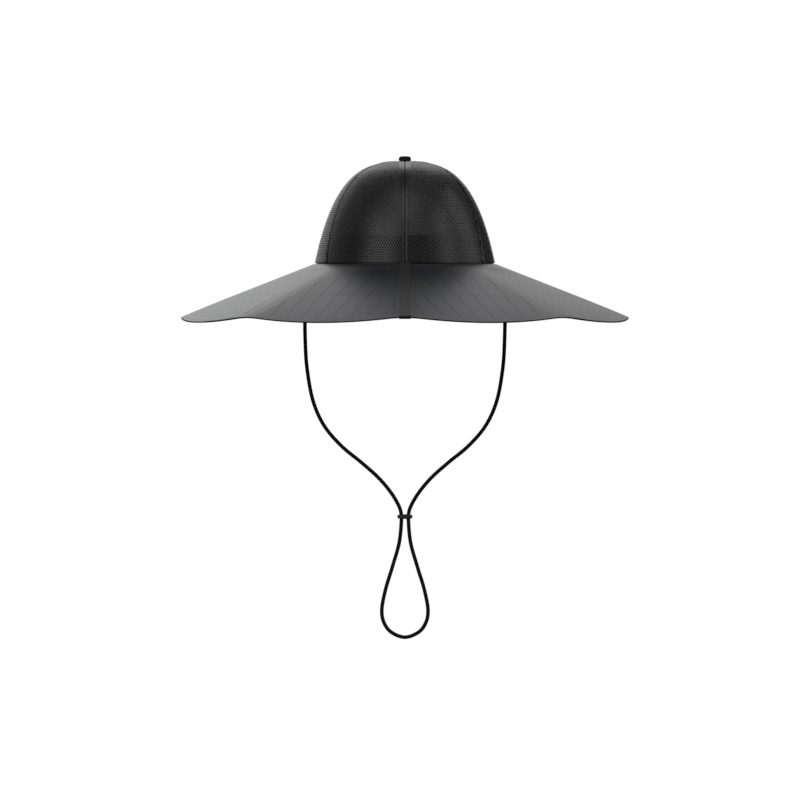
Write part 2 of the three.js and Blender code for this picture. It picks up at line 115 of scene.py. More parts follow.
@dataclass(frozen=True)
class Finish:
    """A surface, named for what the real one is.

    Args:
        name: the material's name.
        colour: its main colour, as sRGB hex.
        roughness: the shader's roughness.
        specular: the shader's specular level, 0.5 for an index of 1.5.
        sheen: how much light loose fibres on it catch at a grazing angle.
        sheen_roughness: how wide that fibre light is.
        coat: how much of a clear film lies over it.
        coat_roughness: that film's roughness.
    """

    name: str
    colour: str
    roughness: float = 0.7
    specular: float = 0.5
    sheen: float = 0.0
    sheen_roughness: float = 0.4
    coat: float = 0.0
    coat_roughness: float = 0.4

    def material(self) -> bpy.types.Material:
        """Makes the material, once for each name.

        Returns:
            The material.
        """
        found = bpy.data.materials.get(self.name)
        if found:
            return found
        made = bpy.data.materials.new(self.name)
        made.use_nodes = True
        tree = made.node_tree
        tree.nodes.clear()
        shader = add_node(
            tree,
            "ShaderNodeBsdfPrincipled",
            {
                "Base Color": linear(self.colour),
                "Roughness": self.roughness,
                "Specular IOR Level": self.specular,
                "Sheen Weight": self.sheen,
                "Sheen Roughness": self.sheen_roughness,
                "Coat Weight": self.coat,
                "Coat Roughness": self.coat_roughness,
            },
        )
        add_node(tree, "ShaderNodeOutputMaterial", {"Surface": shader.outputs[0]})
        made.diffuse_color = linear(self.colour)
        self.detail(tree, shader)
        return made

    def detail(self, tree: bpy.types.NodeTree, shader: bpy.types.Node) -> None:
        """Adds this surface's own pattern to its shader. A plain finish has none."""

    def place(self, tree: bpy.types.NodeTree, scale: float) -> bpy.types.NodeSocket:
        """Object coordinates times a scale, where a pattern stands still in the whole hat."""
        spot = add_node(tree, "ShaderNodeTexCoord").outputs["Object"]
        return add_node(
            tree, "ShaderNodeVectorMath", {0: spot, "Scale": scale}, operation="SCALE"
        ).outputs[0]

    def laid(self, tree: bpy.types.NodeTree) -> tuple[bpy.types.NodeSocket, bpy.types.NodeSocket]:
        """Reads the piece's own UV map.

        Args:
            tree: the material's nodes.

        Returns:
            The places across and along the piece, in millimetres.
        """
        laid = add_node(tree, "ShaderNodeUVMap", uv_map=LAID)
        split = add_node(tree, "ShaderNodeSeparateXYZ", {0: laid.outputs[0]})
        return split.outputs[0], split.outputs[1]

    def grain(
        self, tree: bpy.types.NodeTree, size_mm: float, low: float, high: float
    ) -> bpy.types.NodeSocket:
        """Adds soft noise.

        Args:
            tree: the material's nodes.
            size_mm: the size of its patches.
            low: the value in its valleys.
            high: the value on its hills.

        Returns:
            The noise's value.
        """
        noise = add_node(
            tree,
            "ShaderNodeTexNoise",
            {"Vector": self.place(tree, 1 / (size_mm * MM)), "Scale": 1.0, "Detail": 3.0},
        )
        spread = add_node(
            tree,
            "ShaderNodeMapRange",
            {"Value": noise.outputs[0], "From Min": 0.3, "From Max": 0.7, "To Min": low, "To Max": high},
        )
        return spread.outputs[0]

    def shade(
        self, tree: bpy.types.NodeTree, shader: bpy.types.Node, share: bpy.types.NodeSocket, to: str
    ) -> None:
        """Mixes the main colour towards another one.

        Args:
            tree: the material's nodes.
            shader: its shader.
            share: how much of the other colour there is, from 0 to 1.
            to: the other colour, as sRGB hex.
        """
        mix = add_node(
            tree,
            "ShaderNodeMix",
            {"Factor": share, "A": linear(self.colour), "B": linear(to)},
            data_type="RGBA",
        )
        tree.links.new(mix.outputs["Result"], shader.inputs["Base Color"])

    def relief(
        self,
        tree: bpy.types.NodeTree,
        shader: bpy.types.Node,
        height: bpy.types.NodeSocket,
        depth_mm: float,
    ) -> None:
        """Bumps the surface.

        Args:
            tree: the material's nodes.
            shader: its shader.
            height: the surface's height, from 0 to 1.
            depth_mm: the real depth that 0 to 1 stands for.
        """
        bump = add_node(
            tree,
            "ShaderNodeBump",
            {"Height": height, "Distance": depth_mm * MM, "Strength": 1.0},
        )
        tree.links.new(bump.outputs[0], shader.inputs["Normal"])


@dataclass(frozen=True)
class Cloth(Finish):
    """Woven or knitted cloth on a piece that is laid out flat in its UV map.

    Args:
        weave: how the threads cross.
        thread_mm: from one thread to the next. Real threads lie 0.3 to 0.6 mm apart, and these are drawn
            coarser so that they show.
        deep: the colour of the painted shade in the valleys between the threads, as sRGB hex.
        relief_mm: how high a thread stands.
        fibre_mm: the size of the fine unevenness of the fibres.
        cloud_mm: the size of the soft uneven patches that handling leaves.
    """

    weave: Weave = Weave.PLAIN
    thread_mm: float = 1.0
    deep: str = "#101010"
    relief_mm: float = 0.12
    fibre_mm: float = 0.35
    cloud_mm: float = 30.0

    def detail(self, tree: bpy.types.NodeTree, shader: bpy.types.Node) -> None:
        """Draws the threads, with painted shade in the valleys between them, and a faint cloud over them.

        Args:
            tree: the material's nodes.
            shader: its shader.
        """
        across, along = self.laid(tree)
        turn = math.pi / self.thread_mm
        if self.weave is Weave.TWILL:
            slant = add_node(tree, MATH, [across, along], operation="ADD")
            wave = add_node(tree, MATH, [slant, turn], operation="MULTIPLY")
            threads = add_node(tree, MATH, [wave], operation="SINE")
        else:
            loop = 0.6 if self.weave is Weave.KNIT else 1.0
            across_wave = add_node(tree, MATH, [across, turn], operation="MULTIPLY")
            along_wave = add_node(tree, MATH, [along, turn * loop], operation="MULTIPLY")
            warp = add_node(tree, MATH, [across_wave], operation="SINE")
            weft = add_node(tree, MATH, [along_wave], operation="SINE")
            threads = add_node(tree, MATH, [warp, weft], operation="MULTIPLY")
        height = add_node(tree, MATH, [threads, 0.5, 0.5], operation="MULTIPLY_ADD")
        fibre = self.grain(tree, self.fibre_mm, -0.12, 0.12)
        cloud = self.grain(tree, self.cloud_mm, -0.08, 0.08)
        # Painted shade: the colour darkens where the threads dip, between them.
        depth = add_node(tree, MATH, [1.0, height], operation="SUBTRACT")
        between = add_node(tree, MATH, [depth, 0.55, fibre], operation="MULTIPLY_ADD")
        self.shade(tree, shader, add_node(tree, MATH, [between, cloud], operation="ADD"), self.deep)
        self.relief(tree, shader, add_node(tree, MATH, [height, fibre], operation="ADD"), self.relief_mm)


@dataclass(frozen=True)
class Webbing(Cloth):
    """Webbing with painted shade where it turns under the brim: from the turn on, its colour is near black.

    Args:
        back: the colour of the painted shade on the turn and underneath, as sRGB hex.
        turn_mm: how far along it the turn, and with it the painted shade, begins.
    """

    back: str = "#121213"
    turn_mm: float = 142.0

    def detail(self, tree: bpy.types.NodeTree, shader: bpy.types.Node) -> None:
        """Draws the threads, and paints shade on the turn.

        Args:
            tree: the material's nodes.
            shader: its shader.
        """
        super().detail(tree, shader)
        face = shader.inputs["Base Color"].links[0].from_socket
        # Painted shade: everything past the turn takes the dark colour.
        turn_shade = add_node(tree, MATH, [self.laid(tree)[1], self.turn_mm], operation="GREATER_THAN")
        both = add_node(
            tree, "ShaderNodeMix", {"Factor": turn_shade, "A": face, "B": linear(self.back)}, data_type="RGBA"
        )
        tree.links.new(both.outputs["Result"], shader.inputs["Base Color"])


@dataclass(frozen=True)
class NetYarn(Finish):
    """The polyester yarn of the crown's net, whose holes are real.

    Args:
        deep: the colour of the painted shade at the rims of the holes and on the inside of the crown, as sRGB
            hex.
        fibre_mm: the size of the fine unevenness of the filaments.
        cloud_mm: the size of the soft uneven patches.
        round_mm: how deep the yarn rounds off at a hole.
    """

    deep: str = "#0e0e0f"
    fibre_mm: float = 0.3
    cloud_mm: float = 12.0
    round_mm: float = 0.45

    def detail(self, tree: bpy.types.NodeTree, shader: bpy.types.Node) -> None:
        """Paints shade on the yarn towards each hole and on the inside of the crown, rounds the yarn off
        towards each hole, and roughens it with its filaments.

        Args:
            tree: the material's nodes.
            shader: its shader.
        """
        to_hole = add_node(tree, "ShaderNodeAttribute", attribute_name="to_hole").outputs["Fac"]
        ring = add_node(
            tree,
            "ShaderNodeMapRange",
            {"Value": to_hole, "From Min": 0.3, "From Max": 1.0},
            interpolation_type="SMOOTHSTEP",
        ).outputs[0]
        fibre = self.grain(tree, self.fibre_mm, 0.0, 0.2)
        cloud = self.grain(tree, self.cloud_mm, -0.06, 0.06)
        # Painted shade: the yarn darkens towards each hole, and the whole inside of the crown takes the dark
        # colour.
        uneven = add_node(tree, MATH, [ring, fibre], operation="ADD")
        self.shade(tree, shader, add_node(tree, MATH, [uneven, cloud], operation="ADD"), self.deep)
        filaments = add_node(tree, MATH, [fibre, 0.3], operation="MULTIPLY")
        height = add_node(tree, MATH, [filaments, ring], operation="SUBTRACT")
        self.relief(tree, shader, height, self.round_mm)


@dataclass(frozen=True)
class SolarFilm(Finish):
    """Dark solar cells in strips, under a matt film that is pressed with fine dimples.

    Args:
        gap: the colour of the gaps between cells, as sRGB hex.
        strip_mm: the width of a strip of cells.
        gap_mm: the width of a gap, drawn a little wider than real so that it shows.
        row_mm: where the cross gap lies, from the panel's inner edge.
        finger_mm: from one fine contact line to the next, drawn coarser than real so that it shows.
        finger_width_mm: how wide a contact line is.
        dash_mm: from one solder joint along a gap to the next.
        joint_mm: how wide a joint is, drawn wider than real so that it shows.
        joint_length_mm: how long a joint is.
        joint_dull: how much rougher a joint is than the film beside it.
        dimple_mm: from one dimple of the film to the next, drawn coarser than real so that it shows.
        relief_mm: how deep a dimple and a gap are.
    """

    gap: str = "#2a2c32"
    strip_mm: float = 17.5
    gap_mm: float = 0.9
    row_mm: float = 64.0
    finger_mm: float = 2.5
    finger_width_mm: float = 0.35
    dash_mm: float = 9.0
    joint_mm: float = 2.4
    joint_length_mm: float = 4.5
    joint_dull: float = 0.1
    dimple_mm: float = 1.8
    relief_mm: float = 0.06

    def line(
        self, tree: bpy.types.NodeTree, along: bpy.types.NodeSocket, pitch: float, width: float
    ) -> bpy.types.NodeSocket:
        """1 on lines of a width that repeat at a pitch, and 0 between them."""
        wrapped = add_node(tree, MATH, [along, pitch / 2], operation="PINGPONG")
        return add_node(tree, MATH, [wrapped, width / 2], operation="LESS_THAN")

    def detail(self, tree: bpy.types.NodeTree, shader: bpy.types.Node) -> None:
        """Draws the cells, their gaps, contact lines and joints, and the film's dimples.

        Args:
            tree: the material's nodes.
            shader: its shader.
        """
        across, along = self.laid(tree)
        strips = self.line(tree, across, self.strip_mm, self.gap_mm)
        past_row = add_node(tree, MATH, [along, self.row_mm], operation="SUBTRACT")
        from_row = add_node(tree, MATH, [past_row], operation="ABSOLUTE")
        row = add_node(tree, MATH, [from_row, self.gap_mm], operation="LESS_THAN")
        gaps = add_node(tree, MATH, [strips, row], operation="MAXIMUM")
        fingers = self.line(tree, along, self.finger_mm, self.finger_width_mm)
        cloud = self.grain(tree, 45.0, -0.05, 0.05)
        cells = add_node(tree, MATH, [fingers, 0.12, cloud], operation="MULTIPLY_ADD")
        self.shade(tree, shader, add_node(tree, MATH, [gaps, cells], operation="MAXIMUM"), self.gap)

        beside = self.line(tree, across, self.strip_mm, self.joint_mm)
        dashes = self.line(tree, along, self.dash_mm, self.joint_length_mm)
        joints = add_node(tree, MATH, [beside, dashes], operation="MULTIPLY")
        dullness_and_shade = add_node(tree, MATH, [joints, self.joint_dull, self.roughness], operation="MULTIPLY_ADD")
        tree.links.new(dullness_and_shade.outputs[0], shader.inputs["Roughness"])

        turn = TURN / self.dimple_mm
        waves = [add_node(tree, MATH, [way, turn], operation="MULTIPLY") for way in (across, along)]
        sines = [add_node(tree, MATH, [wave], operation="SINE") for wave in waves]
        pressed = add_node(tree, MATH, sines, operation="MULTIPLY")
        dimples = add_node(tree, MATH, [pressed, 0.5, 0.5], operation="MULTIPLY_ADD")
        height = add_node(tree, MATH, [dimples, gaps], operation="SUBTRACT")
        self.relief(tree, shader, height, self.relief_mm)


@dataclass(frozen=True)
class FineGrain(Finish):
    """A surface with a fine even grain, such as moulded rubber or tightly twisted yarn.

    Args:
        deep: the colour of its darker patches, as sRGB hex.
        grain_mm: the size of the grain.
        patch_mm: the size of the darker patches.
        relief_mm: how deep the grain is.
    """

    deep: str = "#161617"
    grain_mm: float = 0.5
    patch_mm: float = 4.0
    relief_mm: float = 0.03

    def detail(self, tree: bpy.types.NodeTree, shader: bpy.types.Node) -> None:
        """Adds the grain, and the slight darkening that wear leaves.

        Args:
            tree: the material's nodes.
            shader: its shader.
        """
        grain = self.grain(tree, self.grain_mm, 0.0, 1.0)
        self.shade(tree, shader, self.grain(tree, self.patch_mm, 0.0, 0.35), self.deep)
        self.relief(tree, shader, grain, self.relief_mm)


@dataclass(frozen=True)
class StudioPaper(Finish):
    """The pale floor, which is lit so evenly that it reads as white.

    Args:
        glow: how much light it gives by itself.
    """

    glow: float = 0.85

    def detail(self, tree: bpy.types.NodeTree, shader: bpy.types.Node) -> None:
        """Lets the floor shine a little, so that only a faint shade is left under the hat.

        Args:
            tree: the material's nodes.
            shader: its shader.
        """
        shader.inputs["Emission Color"].default_value = (1.0, 1.0, 1.0, 1.0)
        shader.inputs["Emission Strength"].default_value = self.glow
        self.relief(tree, shader, self.grain(tree, 2.0, 0.0, 1.0), 0.05)


# Knitted polyester net: black-grey yarn, a little lighter where the filaments catch the light, with painted
# shade at the rims of its holes and on the inside of the crown.
CROWN_NET = NetYarn(
    "knitted_polyester_net", "#3a3a3c", roughness=0.34, specular=1.0, coat=0.4, coat_roughness=0.27
)
# Herringbone seam tape: dull grey, which reads as dark in the shade behind the net.
SEAM_TAPE = Cloth(
    "woven_seam_tape",
    "#646466",
    roughness=0.6,
    specular=0.4,
    weave=Weave.TWILL,
    thread_mm=1.2,
    deep="#424244",
)
# Brushed jersey of the sweatband: matt and near black, the darker zone behind the net.
BAND_JERSEY = Cloth(
    "brushed_jersey", "#1e1e20", roughness=0.45, weave=Weave.KNIT, thread_mm=1.1, relief_mm=0.05
)
# Polyester cloth drawn tight over the button: dark, with a faint light rim from its loose fibres.
BUTTON_CLOTH = Cloth(
    "button_cloth", "#404042", roughness=0.55, sheen=0.2, thread_mm=0.8, relief_mm=0.06
)
# Coated plain weave of the brim: even mid grey, with the coating's soft gloss at a low angle.
BRIM_CLOTH = Cloth(
    "coated_plain_weave",
    "#48484a",
    roughness=0.36,
    coat=0.3,
    coat_roughness=0.32,
    thread_mm=1.3,
    deep="#4a4a4c",
    relief_mm=0.03,
)
# Spun polyester thread of the stitches and the piping: dull and black.
THREAD = FineGrain("polyester_thread", "#1b1b1c", roughness=0.8, specular=0.3, deep="#121213")
# Film over monocrystalline cells: grey at a low angle, blue-black from above.
SOLAR_FILM = SolarFilm(
    "film_over_solar_cells", "#42444c", roughness=0.36, coat=0.3, coat_roughness=0.32
)
# Folded polyester tape of the edge: black and dull.
EDGE_TAPE = Cloth(
    "folded_edge_tape", "#161617", roughness=0.8, specular=0.3, sheen=0.1, thread_mm=0.9
)
# Flat webbing of the front strap: grey slanting ribs, with a soft gloss at a low angle, and painted shade
# from where it turns under the brim.
WEBBING = Webbing(
    "flat_webbing",
    "#4e4e50",
    roughness=0.38,
    coat=0.25,
    coat_roughness=0.32,
    weave=Weave.TWILL,
    thread_mm=1.0,
    deep="#38383a",
)
# Braided polyester of the chin cord: dull and black. Its strands are real shape.
CORD_BRAID = FineGrain("round_braid", "#222223", roughness=0.7, specular=0.35, deep="#151516")
# Moulded rubber of the slider and the bosses: matt dark grey, with a wide soft highlight.
SLIDER_RUBBER = FineGrain("moulded_rubber", "#5a5a5c", roughness=0.45, deep="#4a4a4c")
# Studio paper of the floor: white and matt.
FLOOR_PAPER = StudioPaper("studio_paper", "#f4f4f4", roughness=0.9, specular=0.1)


def dress(piece: bpy.types.Object, finish: Finish, slot: Slot, *nodes: str) -> bpy.types.Object:
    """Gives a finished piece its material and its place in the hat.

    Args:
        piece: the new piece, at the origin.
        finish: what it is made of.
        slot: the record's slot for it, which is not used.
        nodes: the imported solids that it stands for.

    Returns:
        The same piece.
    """
    piece.data.materials.clear()
    piece.data.materials.append(finish.material())
    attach(piece, BODY)
    if nodes:
        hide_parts(*nodes)
    log.info("%s: %d faces, %s", piece.name, len(piece.data.polygons), finish.name)
    return piece


def add_piece(name: str, mesh: bpy.types.Mesh) -> bpy.types.Object:
    """Puts a mesh into the scene as an object at the origin.

    Args:
        name: the object's and the mesh's name.
        mesh: the mesh.

    Returns:
        The object.
    """
    mesh.name = name
    made = bpy.data.objects.new(name, mesh)
    bpy.context.scene.collection.objects.link(made)
    return made


def mesh_of(points: np.ndarray, faces: list, smooth: bool = True) -> bpy.types.Mesh:
    """A mesh from points in millimetres and faces.

    Args:
        points: one row of three numbers for each point.
        faces: lists of point numbers, anticlockwise from outside.
        smooth: whether the faces are shaded as one surface.

    Returns:
        The mesh, in metres.
    """
    mesh = bpy.data.meshes.new("made")
    mesh.from_pydata((points * MM).tolist(), [], faces)
    if smooth:
        mesh.polygons.foreach_set("use_smooth", [True] * len(mesh.polygons))
    mesh.update()
    return mesh


def tube_faces(rings: int, around: int) -> list[list[int]]:
    """The faces of a closed tube, whose points are its rings and then the middles of its two ends.

    Args:
        rings: how many rings of points it has.
        around: how many points a ring has.

    Returns:
        Lists of point numbers, anticlockwise from outside where the rings turn left and rise.
    """
    base = (rings - 1) * around
    first, last = rings * around, rings * around + 1
    faces = []
    for column in range(around):
        right = (column + 1) % around
        faces.append([first, right, column])
        faces.append([last, base + column, base + right])
        for low in range(0, base, around):
            faces.append([low + column, low + right, low + around + right, low + around + column])
    return faces


def bake(piece: bpy.types.Object) -> None:
    """Turns a piece and its modifiers into plain mesh.

    Args:
        piece: the piece, whose old mesh is removed.
    """
    evaluated = piece.evaluated_get(bpy.context.evaluated_depsgraph_get())
    mesh = bpy.data.meshes.new_from_object(evaluated)
    old = piece.data
    piece.modifiers.clear()
    piece.data = mesh
    bpy.data.meshes.remove(old)


def soften(piece: bpy.types.Object, width_mm: float, segments: int) -> None:
    """Rounds a piece's sharp edges, and leaves plain mesh.

    Args:
        piece: the piece.
        width_mm: how far from an edge its rounding reaches.
        segments: how many faces the rounding has.
    """
    bevel = piece.modifiers.new("round", "BEVEL")
    bevel.width = width_mm * MM
    bevel.segments = segments
    bevel.limit_method = "ANGLE"
    bevel.angle_limit = math.radians(50)
    bake(piece)


def fix_normals(mesh: bpy.types.Mesh) -> None:
    """Turns every face of a closed mesh outwards.

    Args:
        mesh: the mesh.
    """
    bm = bmesh.new()
    bm.from_mesh(mesh)
    bmesh.ops.recalc_face_normals(bm, faces=bm.faces[:])
    bm.to_mesh(mesh)
    bm.free()


def add_laid(piece: bpy.types.Object, place: Callable[[float, float, float], tuple[float, float]]) -> None:
    """Gives a piece a UV map in millimetres.

    Args:
        piece: the piece.
        place: turns a point's place in millimetres into its place across and along the flat cloth.
    """
    mesh = piece.data
    layer = mesh.uv_layers.get(LAID) or mesh.uv_layers.new(name=LAID)
    for loop in mesh.loops:
        point = mesh.vertices[loop.vertex_index].co / MM
        layer.data[loop.index].uv = place(*point)


def eased(share: np.ndarray) -> np.ndarray:
    """A share from 0 to 1 that starts and ends gently."""
    return share * share * (3 - 2 * share)


@dataclass
class Patch:
    """A sheet with thickness, laid out as rows and columns of points.

    Args:
        outer: the outer face's points, as rows, columns and three numbers. Rows run down and columns run to
            the right, as seen from outside.
        inner: the inner face's points, in the same order.
        laid: where each point lies on the flat cloth, in millimetres, with one column more than the points
            where the columns close a ring.
        ring: whether the last column joins the first.
    """

    outer: np.ndarray
    inner: np.ndarray
    laid: np.ndarray
    ring: bool = False

    def mesh(self) -> bpy.types.Mesh:
        """Makes the closed mesh, with its UV map.

        Returns:
            The mesh, in metres.
        """
        rows, columns = self.outer.shape[:2]
        points = np.concatenate([self.outer.reshape(-1, 3), self.inner.reshape(-1, 3)])
        under = rows * columns
        spans = columns if self.ring else columns - 1
        faces: list[list[int]] = []
        corners: list[tuple[int, int]] = []

        def quad(*places: tuple[int, int, int]) -> None:
            """Adds a face from (row, column, whether on the inner face) places."""
            faces.append([side * under + row * columns + column % columns for row, column, side in places])
            corners.extend((row, column) for row, column, _ in places)

        for row in range(rows - 1):
            for column in range(spans):
                low, right = row + 1, column + 1
                quad((row, column, 0), (low, column, 0), (low, right, 0), (row, right, 0))
                quad((row, column, 1), (row, right, 1), (low, right, 1), (low, column, 1))
        for column in range(spans):
            right, last = column + 1, rows - 1
            quad((0, column, 0), (0, right, 0), (0, right, 1), (0, column, 1))
            quad((last, column, 0), (last, column, 1), (last, right, 1), (last, right, 0))
        if not self.ring:
            last = columns - 1
            for row in range(rows - 1):
                low = row + 1
                quad((row, 0, 0), (row, 0, 1), (low, 0, 1), (low, 0, 0))
                quad((row, last, 0), (low, last, 0), (low, last, 1), (row, last, 1))
        mesh = mesh_of(points, faces)
        layer = mesh.uv_layers.new(name=LAID)
        places = np.array(corners)
        layer.data.foreach_set("uv", self.laid[places[:, 0], places[:, 1]].astype(np.float32).ravel())
        return mesh


def arc_lengths(points: np.ndarray, axis: int, ring: bool = False) -> np.ndarray:
    """The distance along rows or columns of points from the first one.

    Args:
        points: rows, columns and three numbers.
        axis: 0 to measure down the columns, 1 to measure along the rows.
        ring: whether to add the last step, back to the first point.

    Returns:
        The distances, in the points' own layout.
    """
    closed = np.concatenate([points, np.take(points, [0], axis)], axis) if ring else points
    steps = np.linalg.norm(np.diff(closed, axis=axis), axis=2)
    start = np.zeros_like(np.take(steps, [0], axis))
    return np.concatenate([start, np.cumsum(steps, axis)], axis)


def laid_out(points: np.ndarray, ring: bool = False) -> np.ndarray:
    """Lays rows and columns of points out flat, by their mean distances across and along.

    Args:
        points: rows, columns and three numbers.
        ring: whether the last column joins the first.

    Returns:
        The flat place of each point.
    """
    across = arc_lengths(points, 1, ring).mean(axis=0)
    along = arc_lengths(points, 0).mean(axis=1)
    return np.stack(np.meshgrid(across, along), axis=-1)


@dataclass(frozen=True)
class HatForm:
    """The shape that the hat's pieces share, in millimetres and radians.

    The crown's half width at a depth is spread * (1 - exp(-depth / fall)) ** curl. The brim falls from the
    crown as a roof of flat sides with rounded hips between them.

    Args:
        crown_height: from the opening to the top of the crown.
        spread: the half width that the crown's profile tends to.
        fall: the depth that sets how fast it tends there.
        curl: the power that makes the crown's top round.
        length_ratio: the crown's length from front to back, as a share of its width.
        top_hole: the half width at which the gores end, under the button.
        seam_base: a side seam's angle from the front or back at the crown's foot, in degrees.
        seam_lean: how much larger that angle is at the top, in degrees.
        sides: how many flat sides the brim has.
        reach: from the crown to the brim's edge.
        hip_slope: how steeply a hip falls.
        side_slope: the slope that sets how far a side falls below its hips.
        hip_round: how far a hip is rounded, as a difference of two cosines.
        sag_start: the distance from the hat's middle at which that further fall starts from nothing.
        foot: the reach at which the brim begins to fall.
        level_reach: the reach at which the sides' further fall is complete.
        brim_wall: the brim's thickness.
        edge_wall: its thickness at the edge.
        edge_droop: how far the edge hangs below the straight roof.
        pocket_start: the reach at which the laminates' pockets begin.
        pocket_end: the reach at which they end.
        hip_margin: from a hip to the pockets beside it.
    """

    crown_height: float = 102.1
    spread: float = 114.5
    fall: float = 153.0
    curl: float = 0.329
    length_ratio: float = 1.18
    top_hole: float = 3.0
    seam_base: float = 59.6
    seam_lean: float = 10.4
    sides: int = 8
    reach: float = 133.6
    hip_slope: float = 0.393
    side_slope: float = 0.385
    hip_round: float = 0.06
    sag_start: float = 30.0
    foot: float = 0.6
    level_reach: float = 20.0
    brim_wall: float = 2.0
    edge_wall: float = 1.4
    edge_droop: float = 0.8
    pocket_start: float = 12.0
    pocket_end: float = 124.0
    hip_margin: float = 9.0

    def width(self, depth: np.ndarray | float) -> np.ndarray:
        """The crown's half width at a depth below its top."""
        return self.spread * (1 - np.exp(-np.asarray(depth) / self.fall)) ** self.curl

    def depth(self, width: np.ndarray | float) -> np.ndarray:
        """The depth at which the crown has a half width."""
        return -self.fall * np.log(1 - (np.asarray(width) / self.spread) ** (1 / self.curl))

    @property
    def foot_width(self) -> float:
        """The crown's half width where it meets the brim."""
        return float(self.width(self.crown_height))

    def crown_normal(self, angle: np.ndarray, width: np.ndarray) -> np.ndarray:
        """Works out the way out of the crown.

        Args:
            angle: angles round the crown, from the front to the right.
            width: half widths of the crown.

        Returns:
            A vector of length 1 for each place.
        """
        share = (width / self.spread) ** (1 / self.curl)
        steep = self.fall * share / (self.curl * width * (1 - share))
        away = np.stack(
            [steep * np.sin(angle), -steep * np.cos(angle) / self.length_ratio, np.ones_like(angle * width)],
            axis=-1,
        )
        return away / np.linalg.norm(away, axis=-1, keepdims=True)

    def puff(self, width: np.ndarray) -> np.ndarray:
        """How far the cloth stands up round the button, which presses it down in the middle."""
        share = np.clip((30 - width) / 12, 0, 1) * np.clip((width - 2) / 5, 0, 1)
        return 0.75 * eased(share)

    def crown(self, angle: np.ndarray, width: np.ndarray, inset: float | np.ndarray = 0.0) -> np.ndarray:
        """Works out points on the crown.

        Args:
            angle: angles round the crown, from the front to the right.
            width: half widths of the crown.
            inset: how far inwards the points are moved.

        Returns:
            The points.
        """
        angle, width = np.broadcast_arrays(np.asarray(angle, float), np.asarray(width, float))
        on = np.stack(
            [
                width * np.sin(angle),
                -width * self.length_ratio * np.cos(angle),
                self.crown_height - self.depth(width) + self.puff(width),
            ],
            axis=-1,
        )
        return on - self.crown_normal(angle, width) * np.asarray(inset)[..., None]

    def even_widths(self, start: float, end: float, rows: int) -> np.ndarray:
        """Spaces half widths evenly along the crown's profile.

        Args:
            start: the first half width.
            end: the last one.
            rows: how many steps lie between them.

        Returns:
            The half widths, one more than the steps.
        """
        fine = np.linspace(start, end, 2000)
        steps = np.hypot(np.diff(self.depth(fine)), np.diff(fine))
        lengths = np.concatenate([[0], np.cumsum(steps)])
        return np.interp(np.linspace(0, lengths[-1], rows + 1), lengths, fine)

    def seam(self, index: int, width: np.ndarray) -> np.ndarray:
        """Works out a seam's angles. Side seams lean to the sides as they rise.

        Args:
            index: which seam, counted from the front to the right. 6 is the front one after a whole turn.
            width: half widths of the crown.

        Returns:
            The angle at each half width.
        """
        bases = [0, self.seam_base, 180 - self.seam_base, 180, 180 + self.seam_base, 360 - self.seam_base]
        leans = [0, 1, -1, 0, 1, -1]
        turn = 360 * (index // 6)
        rise = 1 - self.depth(width) / self.crown_height
        return np.radians(bases[index % 6] + turn + leans[index % 6] * self.seam_lean * rise)

    def side_cosine(self, angle: np.ndarray) -> np.ndarray:
        """Works out the larger cosine to the two nearest sides' middles, rounded where they meet at a hip.

        Args:
            angle: angles round the brim.

        Returns:
            The cosine at each angle.
        """
        pitch = TURN / self.sides
        from_middle = np.abs(np.mod(angle, pitch) - pitch / 2)
        near = np.cos(from_middle)
        blend = np.maximum(self.hip_round - (near - np.cos(pitch - from_middle)), 0)
        return near + blend**2 / (4 * self.hip_round)

    def brim(self, angle: np.ndarray, reach: np.ndarray, drop: float | np.ndarray = 0.0) -> np.ndarray:
        """Works out points on top of the brim.

        Args:
            angle: angles round the brim, from the front to the right.
            reach: how far out from the crown the points are.
            drop: how far they are lowered.

        Returns:
            The points.
        """
        angle, reach = np.broadcast_arrays(np.asarray(angle, float), np.asarray(reach, float))
        x = (self.foot_width + reach) * np.sin(angle)
        y = -(self.foot_width * self.length_ratio + reach) * np.cos(angle)
        share = np.clip((reach - self.foot) / (self.level_reach - self.foot), 0, 1)
        level = eased(share)
        hip = -self.hip_slope * np.maximum(reach - self.foot, 0)
        crest = self.side_cosine(np.zeros(1))[0]
        sag = self.side_slope * (np.hypot(x, y) - self.sag_start) * (self.side_cosine(angle) - crest)
        return np.stack([x, y, hip - level * sag - drop], axis=-1)

    def droop(self, reach: np.ndarray | float) -> np.ndarray:
        """How far the top of the cloth hangs below the straight roof towards the edge."""
        start = 85
        return self.edge_droop * np.clip((np.asarray(reach) - start) / (self.reach - start), 0, 1) ** 2

    def side_angle(self, side: int, share: np.ndarray, reach: np.ndarray, margin: float) -> np.ndarray:
        """Works out angles across one side of the brim.

        Args:
            side: which side, counted from the front to the right.
            share: the places between the margins, from 0 to 1.
            reach: how far out from the crown they are.
            margin: what is kept free along each hip.

        Returns:
            The angles.
        """
        pitch = TURN / self.sides
        edge = margin / (self.foot_width + reach)
        return side * pitch + edge + (pitch - 2 * edge) * share

    def wall(self, reach: np.ndarray) -> np.ndarray:
        """How thick the brim is at a reach."""
        share = np.clip((reach - self.pocket_end) / (self.reach - self.pocket_end), 0, 1)
        return self.brim_wall - (self.brim_wall - self.edge_wall) * eased(share)


FORM = HatForm()
GORES = ("front_right", "right", "back_right", "back_left", "left", "front_left")
SEAMS = ("front", "front_right", "back_right", "back", "back_left", "front_left")


